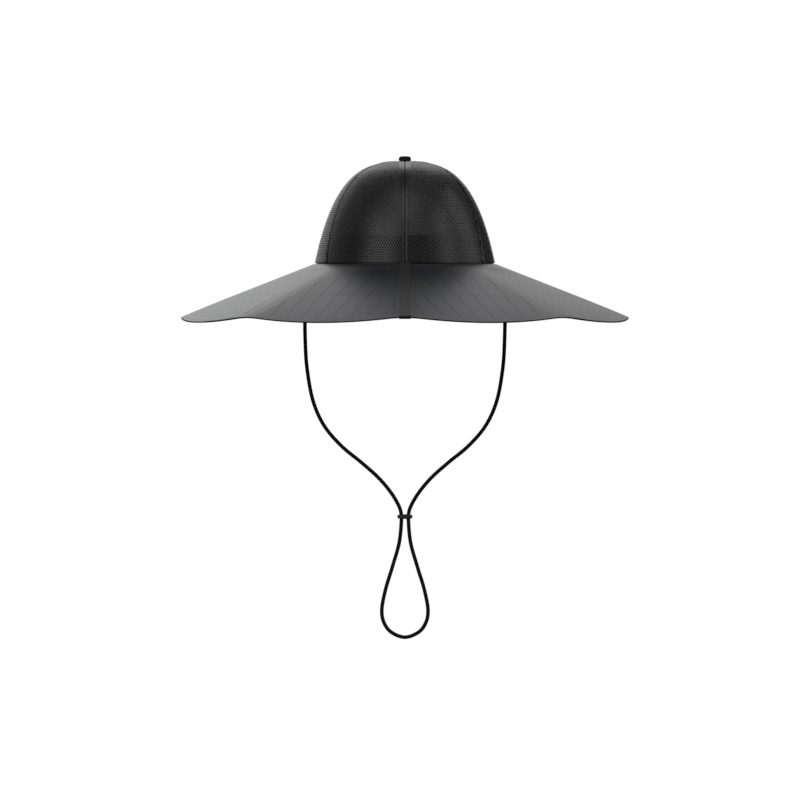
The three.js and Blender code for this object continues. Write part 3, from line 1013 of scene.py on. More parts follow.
class NodeBuild:
    """A Geometry Nodes tree that is built in code, run on one piece and turned into plain mesh."""

    def __init__(self, name: str, inputs: dict[str, str]) -> None:
        """Starts a tree.

        Args:
            name: the tree's name.
            inputs: the socket type of each named input beside the geometry.
        """
        self.tree = bpy.data.node_groups.new(name, "GeometryNodeTree")
        sockets = self.tree.interface
        sockets.new_socket("Geometry", in_out="INPUT", socket_type="NodeSocketGeometry")
        self.keys = {
            key: sockets.new_socket(key, in_out="INPUT", socket_type=kind).identifier
            for key, kind in inputs.items()
        }
        sockets.new_socket("Geometry", in_out="OUTPUT", socket_type="NodeSocketGeometry")
        self.given = add_node(self.tree, "NodeGroupInput").outputs

    def end(self, geometry: bpy.types.NodeSocket) -> None:
        """Ends the tree in Realize Instances and Set Material.

        Args:
            geometry: what the tree has made.
        """
        realized = add_node(self.tree, "GeometryNodeRealizeInstances", {0: geometry})
        made = add_node(
            self.tree,
            "GeometryNodeSetMaterial",
            {"Geometry": realized.outputs[0], "Material": self.given["Material"]},
        )
        add_node(self.tree, "NodeGroupOutput", {0: made.outputs[0]})

    def run(self, name: str, start: bpy.types.Mesh, values: dict[str, Any]) -> bpy.types.Object:
        """Runs the tree on a mesh.

        Args:
            name: the new piece's name.
            start: the mesh that the tree starts from.
            values: what the named inputs are set to.

        Returns:
            The finished piece, as plain mesh.
        """
        carrier = add_piece(f"{name}_start", start)
        modifier = carrier.modifiers.new("build", "NODES")
        modifier.node_group = self.tree
        for key, value in values.items():
            modifier[self.keys[key]] = value
        carrier.update_tag()
        bpy.context.view_layer.update()
        evaluated = carrier.evaluated_get(bpy.context.evaluated_depsgraph_get())
        mesh = bpy.data.meshes.new_from_object(evaluated)
        bpy.data.objects.remove(carrier)
        bpy.data.meshes.remove(start)
        return add_piece(name, mesh)


def net_build() -> NodeBuild:
    """Makes the tree that pierces a gore: six-sided cells on its flat pattern, then seated on the crown.

    The start mesh is the gore's flat pattern. Its "seat" attribute says where each point sits on the crown,
    and its "room" attribute how far it is from the gore's edge.

    Returns:
        The tree, ready to run.
    """
    build = NodeBuild(
        "pierced_net",
        {
            "Pitch": "NodeSocketFloat",
            "Width": "NodeSocketFloat",
            "Hole": "NodeSocketFloat",
            "Wall": "NodeSocketFloat",
            "Fold": "NodeSocketFloat",
            "Length": "NodeSocketFloat",
            "Shift": "NodeSocketFloat",
            "Material": "NodeSocketMaterial",
        },
    )
    tree, given = build.tree, build.given
    row_pitch = add_node(tree, MATH, [given["Pitch"], math.sqrt(3) / 2], operation="MULTIPLY")
    cells = add_node(tree, MATH, [given["Width"], given["Pitch"]], operation="DIVIDE")
    even = add_node(tree, MATH, [cells, 2.0], operation="SNAP")
    across = add_node(tree, MATH, [even, 3.0], operation="ADD")
    row_count = add_node(tree, MATH, [given["Length"], row_pitch], operation="DIVIDE")
    rows = add_node(tree, MATH, [row_count], operation="ROUND")
    spans = add_node(tree, MATH, [across, 1.0], operation="SUBTRACT")
    size_x = add_node(tree, MATH, [spans, given["Pitch"]], operation="MULTIPLY")
    row_spans = add_node(tree, MATH, [rows, 1.0], operation="SUBTRACT")
    size_y = add_node(tree, MATH, [row_spans, row_pitch], operation="MULTIPLY")
    grid = add_node(
        tree,
        "GeometryNodeMeshGrid",
        {"Size X": size_x, "Size Y": size_y, "Vertices X": across, "Vertices Y": rows},
    )
    place = add_node(tree, "GeometryNodeInputPosition")
    split = add_node(tree, "ShaderNodeSeparateXYZ", {0: place.outputs[0]})
    half_y = add_node(tree, MATH, [size_y, 0.5], operation="MULTIPLY")
    from_foot = add_node(tree, MATH, [split.outputs[1], half_y], operation="ADD")
    row_place = add_node(tree, MATH, [from_foot, row_pitch], operation="DIVIDE")
    row = add_node(tree, MATH, [row_place], operation="ROUND")
    odd = add_node(tree, MATH, [row, 2.0], operation="MODULO")
    half_cell = add_node(tree, MATH, [odd, 0.5, 0.25], operation="MULTIPLY_ADD")
    stagger = add_node(tree, MATH, [half_cell, given["Pitch"]], operation="MULTIPLY")
    shift = add_node(tree, MATH, [given["Shift"], given["Pitch"]], operation="MULTIPLY")
    offset = add_node(
        tree,
        "ShaderNodeCombineXYZ",
        {0: stagger, 1: add_node(tree, MATH, [half_y, shift], operation="ADD")},
    )
    moved = add_node(
        tree, "GeometryNodeSetPosition", {"Geometry": grid.outputs[0], "Offset": offset.outputs[0]}
    )
    triangles = add_node(
        tree, "GeometryNodeTriangulate", {0: moved.outputs[0]}, quad_method="SHORTEST_DIAGONAL"
    )
    hexagons = add_node(tree, "GeometryNodeDualMesh", {"Mesh": triangles.outputs[0]})
    near = add_node(tree, "GeometryNodeProximity", {0: given["Geometry"]}, target_element="FACES")
    outside = add_node(tree, MATH, [near.outputs["Distance"], 0.0001], operation="GREATER_THAN")
    kept = add_node(
        tree,
        "GeometryNodeDeleteGeometry",
        {"Geometry": hexagons.outputs[0], "Selection": outside},
        domain="FACE",
    )
    room = add_node(
        tree,
        "GeometryNodeSampleNearestSurface",
        {
            "Mesh": given["Geometry"],
            "Value": add_node(tree, "GeometryNodeInputNamedAttribute", {"Name": "room"}).outputs[0],
        },
    )
    stored = add_node(
        tree,
        "GeometryNodeStoreNamedAttribute",
        {"Geometry": kept.outputs[0], "Name": "room", "Value": room.outputs[0]},
        domain="FACE",
    )
    seat_value = add_node(
        tree, "GeometryNodeInputNamedAttribute", {"Name": "seat"}, data_type="FLOAT_VECTOR"
    )
    seat = add_node(tree, "GeometryNodeSampleNearestSurface", data_type="FLOAT_VECTOR")
    tree.links.new(given["Geometry"], seat.inputs["Mesh"])
    tree.links.new(seat_value.outputs[0], seat.inputs["Value"])
    seated = add_node(
        tree, "GeometryNodeSetPosition", {"Geometry": stored.outputs[0], "Position": seat.outputs[0]}
    )
    cell_room = add_node(tree, "GeometryNodeInputNamedAttribute", {"Name": "room"}).outputs[0]
    pierced = add_node(tree, MATH, [cell_room, given["Fold"]], operation="GREATER_THAN")
    rims = add_node(
        tree,
        "GeometryNodeExtrudeMesh",
        {"Mesh": seated.outputs[0], "Selection": pierced, "Offset Scale": 0.0, "Individual": True},
        mode="FACES",
    )
    shrunk = add_node(
        tree,
        "GeometryNodeScaleElements",
        {"Geometry": rims.outputs["Mesh"], "Selection": rims.outputs["Top"], "Scale": given["Hole"]},
        domain="FACE",
    )
    marked = add_node(
        tree,
        "GeometryNodeStoreNamedAttribute",
        {"Geometry": shrunk.outputs[0], "Name": "to_hole", "Value": rims.outputs["Top"]},
        domain="POINT",
    )
    sheet = add_node(
        tree,
        "GeometryNodeDeleteGeometry",
        {"Geometry": marked.outputs[0], "Selection": rims.outputs["Top"]},
        domain="FACE",
    )
    back = add_node(tree, "GeometryNodeFlipFaces", {0: sheet.outputs[0]})
    thick = add_node(
        tree,
        "GeometryNodeExtrudeMesh",
        {"Mesh": back.outputs[0], "Offset Scale": given["Wall"], "Individual": False},
        mode="FACES",
    )
    # The net's inside face is marked 1, as at a hole, so that its material paints it with shade.
    dullness_and_shade = add_node(
        tree,
        "GeometryNodeStoreNamedAttribute",
        {
            "Geometry": thick.outputs["Mesh"],
            "Selection": thick.outputs["Top"],
            "Name": "to_hole",
            "Value": 1.0,
        },
        domain="POINT",
    )
    both = add_node(tree, "GeometryNodeJoinGeometry")
    tree.links.new(sheet.outputs[0], both.inputs[0])
    tree.links.new(dullness_and_shade.outputs[0], both.inputs[0])
    welded = add_node(tree, "GeometryNodeMergeByDistance", {"Geometry": both.outputs[0], "Distance": 1e-6})
    smooth = add_node(tree, "GeometryNodeSetShadeSmooth", {"Geometry": welded.outputs[0]})
    corner = add_node(tree, "GeometryNodeInputMeshEdgeAngle")
    rim = add_node(tree, MATH, [corner.outputs["Unsigned Angle"], math.radians(40)], operation="GREATER_THAN")
    crisp = add_node(
        tree,
        "GeometryNodeSetShadeSmooth",
        {"Geometry": smooth.outputs[0], "Selection": rim, "Shade Smooth": False},
        domain="EDGE",
    )
    build.end(crisp.outputs[0])
    return build


def stitch_build() -> NodeBuild:
    """Makes the tree that sews along its start mesh's edges: one short bead of thread for each stitch.

    Returns:
        The tree, ready to run.
    """
    build = NodeBuild(
        "stitch_row",
        {
            "Pitch": "NodeSocketFloat",
            "Stitch": "NodeSocketFloat",
            "Thread": "NodeSocketFloat",
            "Material": "NodeSocketMaterial",
        },
    )
    tree, given = build.tree, build.given
    path = add_node(tree, "GeometryNodeMeshToCurve", {0: given["Geometry"]})
    spaced = add_node(
        tree, "GeometryNodeResampleCurve", {"Curve": path.outputs[0], "Length": given["Pitch"]}, mode="LENGTH"
    )
    tangent = add_node(tree, "GeometryNodeInputTangent")
    turned = add_node(
        tree, "FunctionNodeAlignRotationToVector", {"Vector": tangent.outputs[0]}, axis="X"
    )
    bead = add_node(
        tree, "GeometryNodeMeshUVSphere", {"Segments": 6, "Rings": 4, "Radius": 0.5}
    )
    size = add_node(
        tree, "ShaderNodeCombineXYZ", {0: given["Stitch"], 1: given["Thread"], 2: given["Thread"]}
    )
    long_bead = add_node(
        tree,
        "GeometryNodeTransform",
        {"Geometry": bead.outputs[0], "Rotation": (0.0, math.pi / 2, 0.0)},
    )
    sewn = add_node(
        tree,
        "GeometryNodeInstanceOnPoints",
        {
            "Points": spaced.outputs[0],
            "Instance": long_bead.outputs[0],
            "Rotation": turned.outputs[0],
            "Scale": size.outputs[0],
        },
    )
    real = add_node(tree, "GeometryNodeRealizeInstances", {0: sewn.outputs[0]})
    smooth = add_node(tree, "GeometryNodeSetShadeSmooth", {"Geometry": real.outputs[0]})
    build.end(smooth.outputs[0])
    return build


def binding_build() -> NodeBuild:
    """Makes the tree that sweeps a rounded tape round the path in its start mesh.

    Returns:
        The tree, ready to run.
    """
    build = NodeBuild(
        "edge_sweep",
        {
            "Width": "NodeSocketFloat",
            "Height": "NodeSocketFloat",
            "Material": "NodeSocketMaterial",
        },
    )
    tree, given = build.tree, build.given
    path = add_node(tree, "GeometryNodeMeshToCurve", {0: given["Geometry"]})
    upright = add_node(tree, "GeometryNodeSetCurveNormal", {"Curve": path.outputs[0]}, mode="Z_UP")
    section = add_node(
        tree,
        "GeometryNodeCurvePrimitiveQuadrilateral",
        {"Width": given["Width"], "Height": given["Height"]},
    )
    corner = add_node(tree, MATH, [given["Height"], 0.4], operation="MULTIPLY")
    rounded = add_node(
        tree,
        "GeometryNodeFilletCurve",
        {"Curve": section.outputs[0], "Radius": corner.outputs[0], "Count": 4},
        mode="POLY",
    )
    swept = add_node(
        tree,
        "GeometryNodeCurveToMesh",
        {"Curve": upright.outputs[0], "Profile Curve": rounded.outputs[0]},
    )
    smooth = add_node(tree, "GeometryNodeSetShadeSmooth", {"Geometry": swept.outputs[0]})
    build.end(smooth.outputs[0])
    return build


def path_mesh(paths: Iterable[np.ndarray], closed: bool = False) -> bpy.types.Mesh:
    """Makes a mesh of edges only.

    Args:
        paths: arrays of points in millimetres.
        closed: whether each path is a ring.

    Returns:
        The mesh, in metres.
    """
    points, edges, start = [], [], 0
    for path in paths:
        count = len(path)
        points.extend((path * MM).tolist())
        steps = count if closed else count - 1
        edges.extend((start + i, start + (i + 1) % count) for i in range(steps))
        start += count
    mesh = bpy.data.meshes.new("path")
    mesh.from_pydata(points, edges, [])
    return mesh


@dataclass
class Sewing:
    """Sews rows of stitches, by one tree.

    Args:
        pitch: from one stitch to the next.
        stitch: the length of a stitch.
        thread: the thread's thickness.
        build: the tree, which the makers of other stitches share.
    """

    pitch: float = 3.0
    stitch: float = 2.2
    thread: float = 0.4
    build: NodeBuild = field(default_factory=stitch_build)

    def sew(
        self, name: str, paths: Iterable[np.ndarray], slot: Slot, closed: bool = False
    ) -> bpy.types.Object:
        """Sews along paths.

        Args:
            name: the piece's name.
            paths: arrays of points in millimetres.
            slot: the record's slot of the cloth that the stitches are in.
            closed: whether each path is a ring.

        Returns:
            The stitches, as one piece.
        """
        values = {
            "Pitch": self.pitch * MM,
            "Stitch": self.stitch * MM,
            "Thread": self.thread * MM,
            "Material": THREAD.material(),
        }
        return dress(self.build.run(name, path_mesh(paths, closed), values), THREAD, slot)


@dataclass
class Crown:
    """The net crown: six gores, the tape over each seam inside, and the stitches beside the seams.

    Args:
        gap: between gores at the front and back seams.
        side_gap: between gores at the other seams, where a piping lies.
        wall: the net's thickness.
        pitch: from one hole to the next in a row. Real ones lie 2 mm apart, and these are drawn coarser so
            that they show.
        hole: a hole's width as a share of its cell.
        back_hole: the same in the back gores, which are a closer net.
        fold: how far the cloth is double, so not pierced, beside a seam.
        foot_fold: how far it is double along the foot.
        top_fold: how far it is double beside the front and back seams, near the button.
        top_reach: the crown's half width where that fold starts to end.
        top_fade: how much further down it has ended.
        shift: how far the back gores' rows of holes are moved, in holes, so that few holes line up.
        crease: how deep the net is drawn in at a seam.
        crease_width: how far from the seam it is drawn in.
        tape_width: the seam tape's width.
        tape_wall: its thickness.
        tape_gap: between the net and the tape.
        net_solid: from the net's outside to where the tape's gap begins.
        band_top: the height of the sweatband, where the tape ends.
        stitch_at: from a seam to the stitches beside it.
        seam_depth: how deep the piping and the thread lie in a seam.
        ditch_inset: how much further in the thread of the front and back seams lies.
    """

    gap: float = 0.3
    side_gap: float = 1.5
    wall: float = 1.1
    pitch: float = 2.7
    hole: float = 0.49
    back_hole: float = 0.4
    fold: float = 2.6
    foot_fold: float = 0.9
    top_fold: float = 2.6
    top_reach: float = 52.0
    top_fade: float = 5.0
    shift: float = 0.3
    crease: float = 0.25
    crease_width: float = 0.7
    tape_width: float = 6.0
    tape_wall: float = 1.0
    tape_gap: float = 0.1
    net_solid: float = 1.2
    band_top: float = 27.7
    stitch_at: float = 3.2
    seam_depth: float = 0.75
    ditch_inset: float = 0.35

    def build(self, sewing: Sewing) -> None:
        """Builds and dresses every piece of the crown.

        Args:
            sewing: what sews its stitches.
        """
        pierce = net_build()
        for index, name in enumerate(GORES):
            self.gore(index, name, pierce)
        for index, name in enumerate(SEAMS):
            self.tape(index, name)
        self.stitches(sewing)

    def gore(self, index: int, name: str, pierce: NodeBuild) -> bpy.types.Object:
        """Pierces one gore of net.

        Args:
            index: which gore, counted from the front to the right.
            name: the gore's place.
            pierce: the tree that pierces it.

        Returns:
            The gore.
        """
        columns, rows = 48, 60
        behind = name.startswith("back")
        foot = float(FORM.width(FORM.crown_height - self.gap))
        widths = FORM.even_widths(FORM.top_hole, foot, rows)[::-1]
        left_gap = self.gap if index % 3 == 0 else self.side_gap
        right_gap = self.gap if index % 3 == 2 else self.side_gap
        left = FORM.seam(index, widths) + left_gap / 2 / widths
        right = FORM.seam(index + 1, widths) - right_gap / 2 / widths
        share = 0.5 - 0.5 * np.cos(np.linspace(0, math.pi, columns + 1))
        angles = left[:, None] + (right - left)[:, None] * share
        grid = np.broadcast_to(widths[:, None], angles.shape)
        across = arc_lengths(FORM.crown(angles, grid), 1)
        from_seam = np.minimum(across, across[:, -1:] - across)
        seats = FORM.crown(angles, grid, self.crease * np.exp(-((from_seam / self.crease_width) ** 2)))
        anchor = (0.0, 0.5, 1.0)[index % 3]
        flat_x = across - across[:, -1:] * anchor
        flat_y = np.broadcast_to(arc_lengths(seats, 0).mean(axis=1)[:, None], flat_x.shape)
        flat = np.stack([flat_x, flat_y, np.zeros_like(flat_x)], axis=-1)
        wide = self.top_fold * np.clip((self.top_reach + self.top_fade - grid) / self.top_fade, 0, 1)
        from_left = across - (wide if index % 3 == 0 else 0)
        from_right = across[:, -1:] - across - (wide if index % 3 == 2 else 0)
        room = np.minimum(np.minimum(from_left, from_right), flat_y + self.fold - self.foot_fold)
        count = columns + 1
        faces = [
            [corner, corner + 1, corner + count + 1, corner + count]
            for row in range(rows)
            for corner in range(row * count, row * count + columns)
        ]
        start = mesh_of(flat.reshape(-1, 3), faces, smooth=False)
        seat = start.attributes.new("seat", "FLOAT_VECTOR", "POINT")
        seat.data.foreach_set("vector", (seats.reshape(-1, 3) * MM).astype(np.float32).ravel())
        spare = start.attributes.new("room", "FLOAT", "POINT")
        spare.data.foreach_set("value", (room.ravel() * MM).astype(np.float32))
        values = {
            "Pitch": self.pitch * MM,
            "Width": 2 * float(np.abs(flat_x).max()) * MM,
            "Hole": self.back_hole if behind else self.hole,
            "Wall": self.wall * MM,
            "Fold": self.fold * MM,
            "Length": float(flat_y.max()) * MM,
            "Shift": self.shift if behind else 0.0,
            "Material": CROWN_NET.material(),
        }
        piece = pierce.run(f"net_{name}", start, values)
        return dress(piece, CROWN_NET, Slot.NET, f"crown_panel_{name}")

    def tape(self, index: int, name: str) -> bpy.types.Object:
        """Lays the tape over one seam, inside. It is half as wide where it starts, under the button.

        Args:
            index: which seam, counted from the front to the right.
            name: the seam's place.

        Returns:
            The tape.
        """
        columns, rows = 8, 70
        foot = float(FORM.width(FORM.crown_height - self.band_top)) - 0.5
        widths = FORM.even_widths(self.tape_width, foot, rows)[:, None]
        middle = FORM.seam(index, widths)
        reach = widths * np.hypot(np.cos(middle), FORM.length_ratio * np.sin(middle))
        taper = np.interp(np.arange(rows + 1), [0, 6], [0.5, 1])[:, None]
        across = (np.linspace(-0.5, 0.5, columns + 1)[None, :]) * self.tape_width * taper
        inset = self.net_solid + self.tape_gap
        outer = FORM.crown(middle + across / reach, widths + across * 0, inset)
        inner = FORM.crown(middle + across / reach, widths + across * 0, inset + self.tape_wall)
        piece = add_piece(f"tape_{name}", Patch(outer, inner, laid_out(outer)).mesh())
        soften(piece, 0.35, 2)
        return dress(piece, SEAM_TAPE, Slot.TAPE, f"seam_tape_{name}")

    def stitches(self, sewing: Sewing) -> None:
        """Sews a row of stitches on each side of every seam, and lays a piping in the side seams.

        Args:
            sewing: what sews the stitches.
        """
        widths = FORM.even_widths(8, float(FORM.width(FORM.crown_height - 2.5)), 80)
        paths = []
        for index in range(len(SEAMS)):
            middle = FORM.seam(index, widths)
            reach = widths * np.hypot(np.cos(middle), FORM.length_ratio * np.sin(middle))
            for sign in (-1, 1):
                paths.append(FORM.crown(middle + sign * self.stitch_at / reach, widths, -0.02))
        sewing.sew("crown_stitches", paths, Slot.NET)
        widths = FORM.even_widths(8, float(FORM.width(FORM.crown_height - 1.0)), 90)
        seams = range(len(SEAMS))
        lines = [FORM.crown(FORM.seam(index, widths), widths, self.seam_depth) for index in seams]
        piping = [line for index, line in enumerate(lines) if index % 3]
        piping_sewing = Sewing(pitch=2.9, stitch=3.4, thread=1.2, build=sewing.build)
        piping_sewing.sew("seam_piping", piping, Slot.TAPE)
        inward = np.array([0, self.ditch_inset, 0])
        ditch = [lines[0] + inward, lines[3] - inward]
        ditch_sewing = Sewing(pitch=2.9, stitch=3.4, thread=0.7, build=sewing.build)
        ditch_sewing.sew("seam_thread", ditch, Slot.TAPE)


@dataclass
class Sweatband:
    """The jersey band inside the foot of the crown.

    Args:
        top: the height of its folded top edge.
        bottom: the height of its foot.
        inset: from the crown's outside to the band.
        wall: its thickness.
        puff: how much its middle swells inwards.
        stitch_at: from its top or its foot to the stitches.
    """

    top: float = 27.7
    bottom: float = -1.6
    inset: float = 1.75
    wall: float = 2.0
    puff: float = 0.5
    stitch_at: float = 3.0

    def ring(self, height: float, inset: float, angles: np.ndarray) -> np.ndarray:
        """Works out a ring of points.

        Args:
            height: its height. Below 0 it is as wide as at 0.
            inset: how far inside the crown's outside it lies.
            angles: the points' angles, from the front to the right.

        Returns:
            The points.
        """
        width = float(FORM.width(FORM.crown_height - max(height, 0.0)))
        return np.stack(
            [
                (width - inset) * np.sin(angles),
                -(width * FORM.length_ratio - inset) * np.cos(angles),
                np.full_like(angles, height),
            ],
            axis=-1,
        )

    def build(self, sewing: Sewing) -> None:
        """Builds the band and the two rows of stitches in it.

        Args:
            sewing: what sews the stitches.
        """
        columns = 192
        angles = np.linspace(0, TURN, columns, endpoint=False)
        shares = np.linspace(0, 1, 21)
        heights = self.top + (self.bottom - self.top) * shares
        outer = np.stack([self.ring(h, self.inset, angles) for h in heights])
        swell = self.puff * np.sin(np.pi * shares) ** 0.6
        inner = np.stack(
            [self.ring(h, self.inset + self.wall + s, angles) for h, s in zip(heights, swell)]
        )
        laid = laid_out(outer, ring=True)
        piece = add_piece("sweatband_jersey", Patch(outer, inner, laid, ring=True).mesh())
        soften(piece, 0.7, 3)
        dress(piece, BAND_JERSEY, Slot.BAND, "sweatband")
        stitched = (self.top - self.stitch_at, self.bottom + self.stitch_at)
        rows = [self.ring(h, self.inset + self.wall + 0.25, angles) for h in stitched]
        sewing.sew("sweatband_stitches", rows, Slot.BAND, closed=True)


@dataclass
class Button:
    """The covered button on top of the crown.

    Args:
        radius: the button's radius.
        height: how high it stands.
        shank: the radius of the shank below it.
        shank_length: how far the shank goes down through the crown.
    """

    radius: float = 6.2
    height: float = 5.4
    shank: float = 2.4
    shank_length: float = 2.8

    def profile(self) -> np.ndarray:
        """Works out the button's outline, from the foot of the shank to the top.

        Returns:
            Pairs of a radius and a height.
        """
        foot = FORM.crown_height + 0.3
        bend = np.linspace(-0.5 * math.pi, 0.5 * math.pi, 22)
        middle = 0.4 * self.height
        dome = [
            (
                self.radius * math.cos(a) ** 0.42,
                foot + middle + (self.height - middle if a > 0 else middle) * math.sin(a),
            )
            for a in bend[1:-1]
        ]
        shank = [(0.0, foot - self.shank_length), (self.shank, foot - self.shank_length), (self.shank, foot)]
        return np.array([*shank, *dome, (0.0, foot + self.height)])

    def build(self) -> None:
        """Turns the profile into the button."""
        columns = 48
        profile = self.profile()
        angles = np.linspace(0, TURN, columns, endpoint=False)
        rings = [
            np.stack([r * np.sin(angles), -r * np.cos(angles), np.full(columns, z)], axis=-1)
            for r, z in profile[1:-1]
        ]
        points = np.concatenate([*rings, [[0, 0, profile[0][1]]], [[0, 0, profile[-1][1]]]])
        button = add_piece("button", mesh_of(points, tube_faces(len(rings), columns)))
        add_laid(button, lambda x, y, z: (x, y))
        dress(button, BUTTON_CLOTH, Slot.BUTTON, "top_button")


@dataclass
class Brim:
    """The brim: its cloth, the laminate in each side, and the binding round its edge.

    Args:
        pocket: how deep the cloth is pressed under a laminate.
        film: a laminate's thickness.
        corner: the radius of a laminate's corners.
        ramp: how far the pocket's edge slopes.
        binding_width: the binding's width.
        binding_height: its height.
        binding_drop: how far its middle is below the brim's top.
    """

    pocket: float = 0.62
    film: float = 0.6
    corner: float = 1.2
    ramp: float = 0.05
    binding_width: float = 1.0
    binding_height: float = 0.95
    binding_drop: float = 1.65

    def build(self, sewing: Sewing) -> None:
        """Builds and dresses every piece of the brim.

        Args:
            sewing: what sews its stitches.
        """
        self.cloth()
        for side in range(FORM.sides):
            self.laminate(side)
        self.binding()
        self.stitches(sewing)

    def side_columns(self) -> np.ndarray:
        """Distances from a hip to the columns of points beside it, in millimetres."""
        margin = FORM.hip_margin
        return np.array([0, 1.5, 3, 4.5, 6, 7.4, margin - self.ramp, margin, margin + 1.2, margin + 2.6])

    def cloth(self) -> bpy.types.Object:
        """Builds the brim's cloth, pressed down where the laminates lie.

        Its rows and columns of points lie closer together where the cloth bends, along the pockets' edges.

        Returns:
            The cloth.
        """
        near = self.side_columns()
        shares = np.linspace(0, 1, 26)[1:-1]
        start, end = FORM.pocket_start, FORM.pocket_end
        reaches = np.array(
            [-1.1, -0.4, FORM.foot, 2, 3.5, 5.5, 8, 10, start - self.ramp, start, start + 1.2, start + 2.6]
            + list(np.linspace(start + 5, end - 5, 26))
            + [end - 2.6, end - 1.2, end, end + self.ramp, end + 2.5, 128.5, 130.5, 132, FORM.reach - 0.6]
        )
        pitch = TURN / FORM.sides
        angle_rows, drop_rows = [], []
        for reach in reaches:
            radius = FORM.foot_width + reach
            hips = near / radius
            inner_start, inner_end = hips[-1], pitch - hips[-1]
            middle = inner_start + (inner_end - inner_start) * shares
            one = np.concatenate([hips, middle, (pitch - hips[::-1])[:-1]])
            from_hip = np.minimum(one, pitch - one) * radius
            inside = np.minimum(from_hip - FORM.hip_margin, min(reach - start, end - reach))
            press = np.clip(inside / self.ramp + 1, 0, 1)
            angle_rows.append(np.concatenate([one + side * pitch for side in range(FORM.sides)]))
            drop_rows.append(np.tile(self.pocket * eased(press) + FORM.droop(reach), FORM.sides))
        angles, drops = np.array(angle_rows), np.array(drop_rows)
        grid = np.broadcast_to(reaches[:, None], angles.shape)
        outer = FORM.brim(angles, grid, drops)
        inner = FORM.brim(angles, grid, np.broadcast_to(FORM.wall(grid), angles.shape))
        laid = np.concatenate([outer, outer[:, :1]], axis=1)[..., :2]
        piece = add_piece("brim_shell", Patch(outer, inner, laid, ring=True).mesh())
        piece.data.set_sharp_from_angle(angle=math.radians(25))
        return dress(piece, BRIM_CLOTH, Slot.BRIM, "brim")

    def laminate(self, side: int) -> bpy.types.Object:
        """Builds one solar laminate, with round corners.

        Args:
            side: which side of the brim it lies in, counted from the front to the right.

        Returns:
            The laminate.
        """
        start, end = FORM.pocket_start, FORM.pocket_end
        ease = self.corner * (1 - np.cos(np.linspace(0, math.pi / 2, 6)))
        reaches = np.concatenate([start + ease, np.linspace(start + 5, end - 5, 24), (end - ease)[::-1]])
        from_end = np.minimum(np.minimum(reaches - start, end - reaches), self.corner)
        cut = self.corner - np.sqrt(np.maximum(self.corner**2 - (self.corner - from_end) ** 2, 0))
        shares = np.linspace(0, 1, 41)
        angles = np.stack(
            [
                FORM.side_angle(side, shares, reach, FORM.hip_margin + inward)
                for reach, inward in zip(reaches, cut)
            ]
        )
        grid = np.broadcast_to(reaches[:, None], angles.shape)
        outer = FORM.brim(angles, grid, FORM.droop(grid))
        inner = FORM.brim(angles, grid, FORM.droop(grid) + self.film)
        middle = (side + 0.5) * TURN / FORM.sides
        away = np.array([math.sin(middle), -math.cos(middle)])
        over = np.array([math.cos(middle), math.sin(middle)])
        inside = FORM.brim(np.array(middle), np.array(FORM.pocket_start))[:2] @ away
        slope = math.hypot(1, FORM.side_slope)
        laid = np.stack([outer[..., :2] @ over, (outer[..., :2] @ away - inside) * slope], axis=-1)
        piece = add_piece(f"laminate_{side + 1}", Patch(outer, inner, laid).mesh())
        soften(piece, 0.03, 2)
        return dress(piece, SOLAR_FILM, Slot.FILM, f"solar_panel_{side + 1}")

    def binding(self) -> bpy.types.Object:
        """Sweeps the binding round the brim's edge.

        Returns:
            The binding.
        """
        angles = np.linspace(0, TURN, 384, endpoint=False)
        path = FORM.brim(angles, np.full_like(angles, FORM.reach - self.binding_width / 2), self.binding_drop)
        values = {
            "Width": self.binding_width * MM,
            "Height": self.binding_height * MM,
            "Material": EDGE_TAPE.material(),
        }
        piece = binding_build().run("edge_tape", path_mesh([path], closed=True), values)
        # An angle becomes a length along the edge, and a height a place across the folded tape.
        edge_radius, fold_share = 230, 3
        add_laid(piece, lambda x, y, z: (math.atan2(x, -y) * edge_radius, z * fold_share))
        return dress(piece, EDGE_TAPE, Slot.BINDING, "edge_binding")

    def stitches(self, sewing: Sewing) -> None:
        """Sews the rim's hem.

        Args:
            sewing: what sews the crown's stitches, whose tree this uses.
        """
        angles = np.linspace(0, TURN, 480, endpoint=False)
        hem = FORM.reach - 4.2
        rim = FORM.brim(angles, np.full_like(angles, hem), FORM.droop(hem))
        fine = Sewing(pitch=3.0, stitch=2.2, thread=0.2, build=sewing.build)
        fine.sew("brim_stitches", [rim], Slot.BRIM, closed=True)


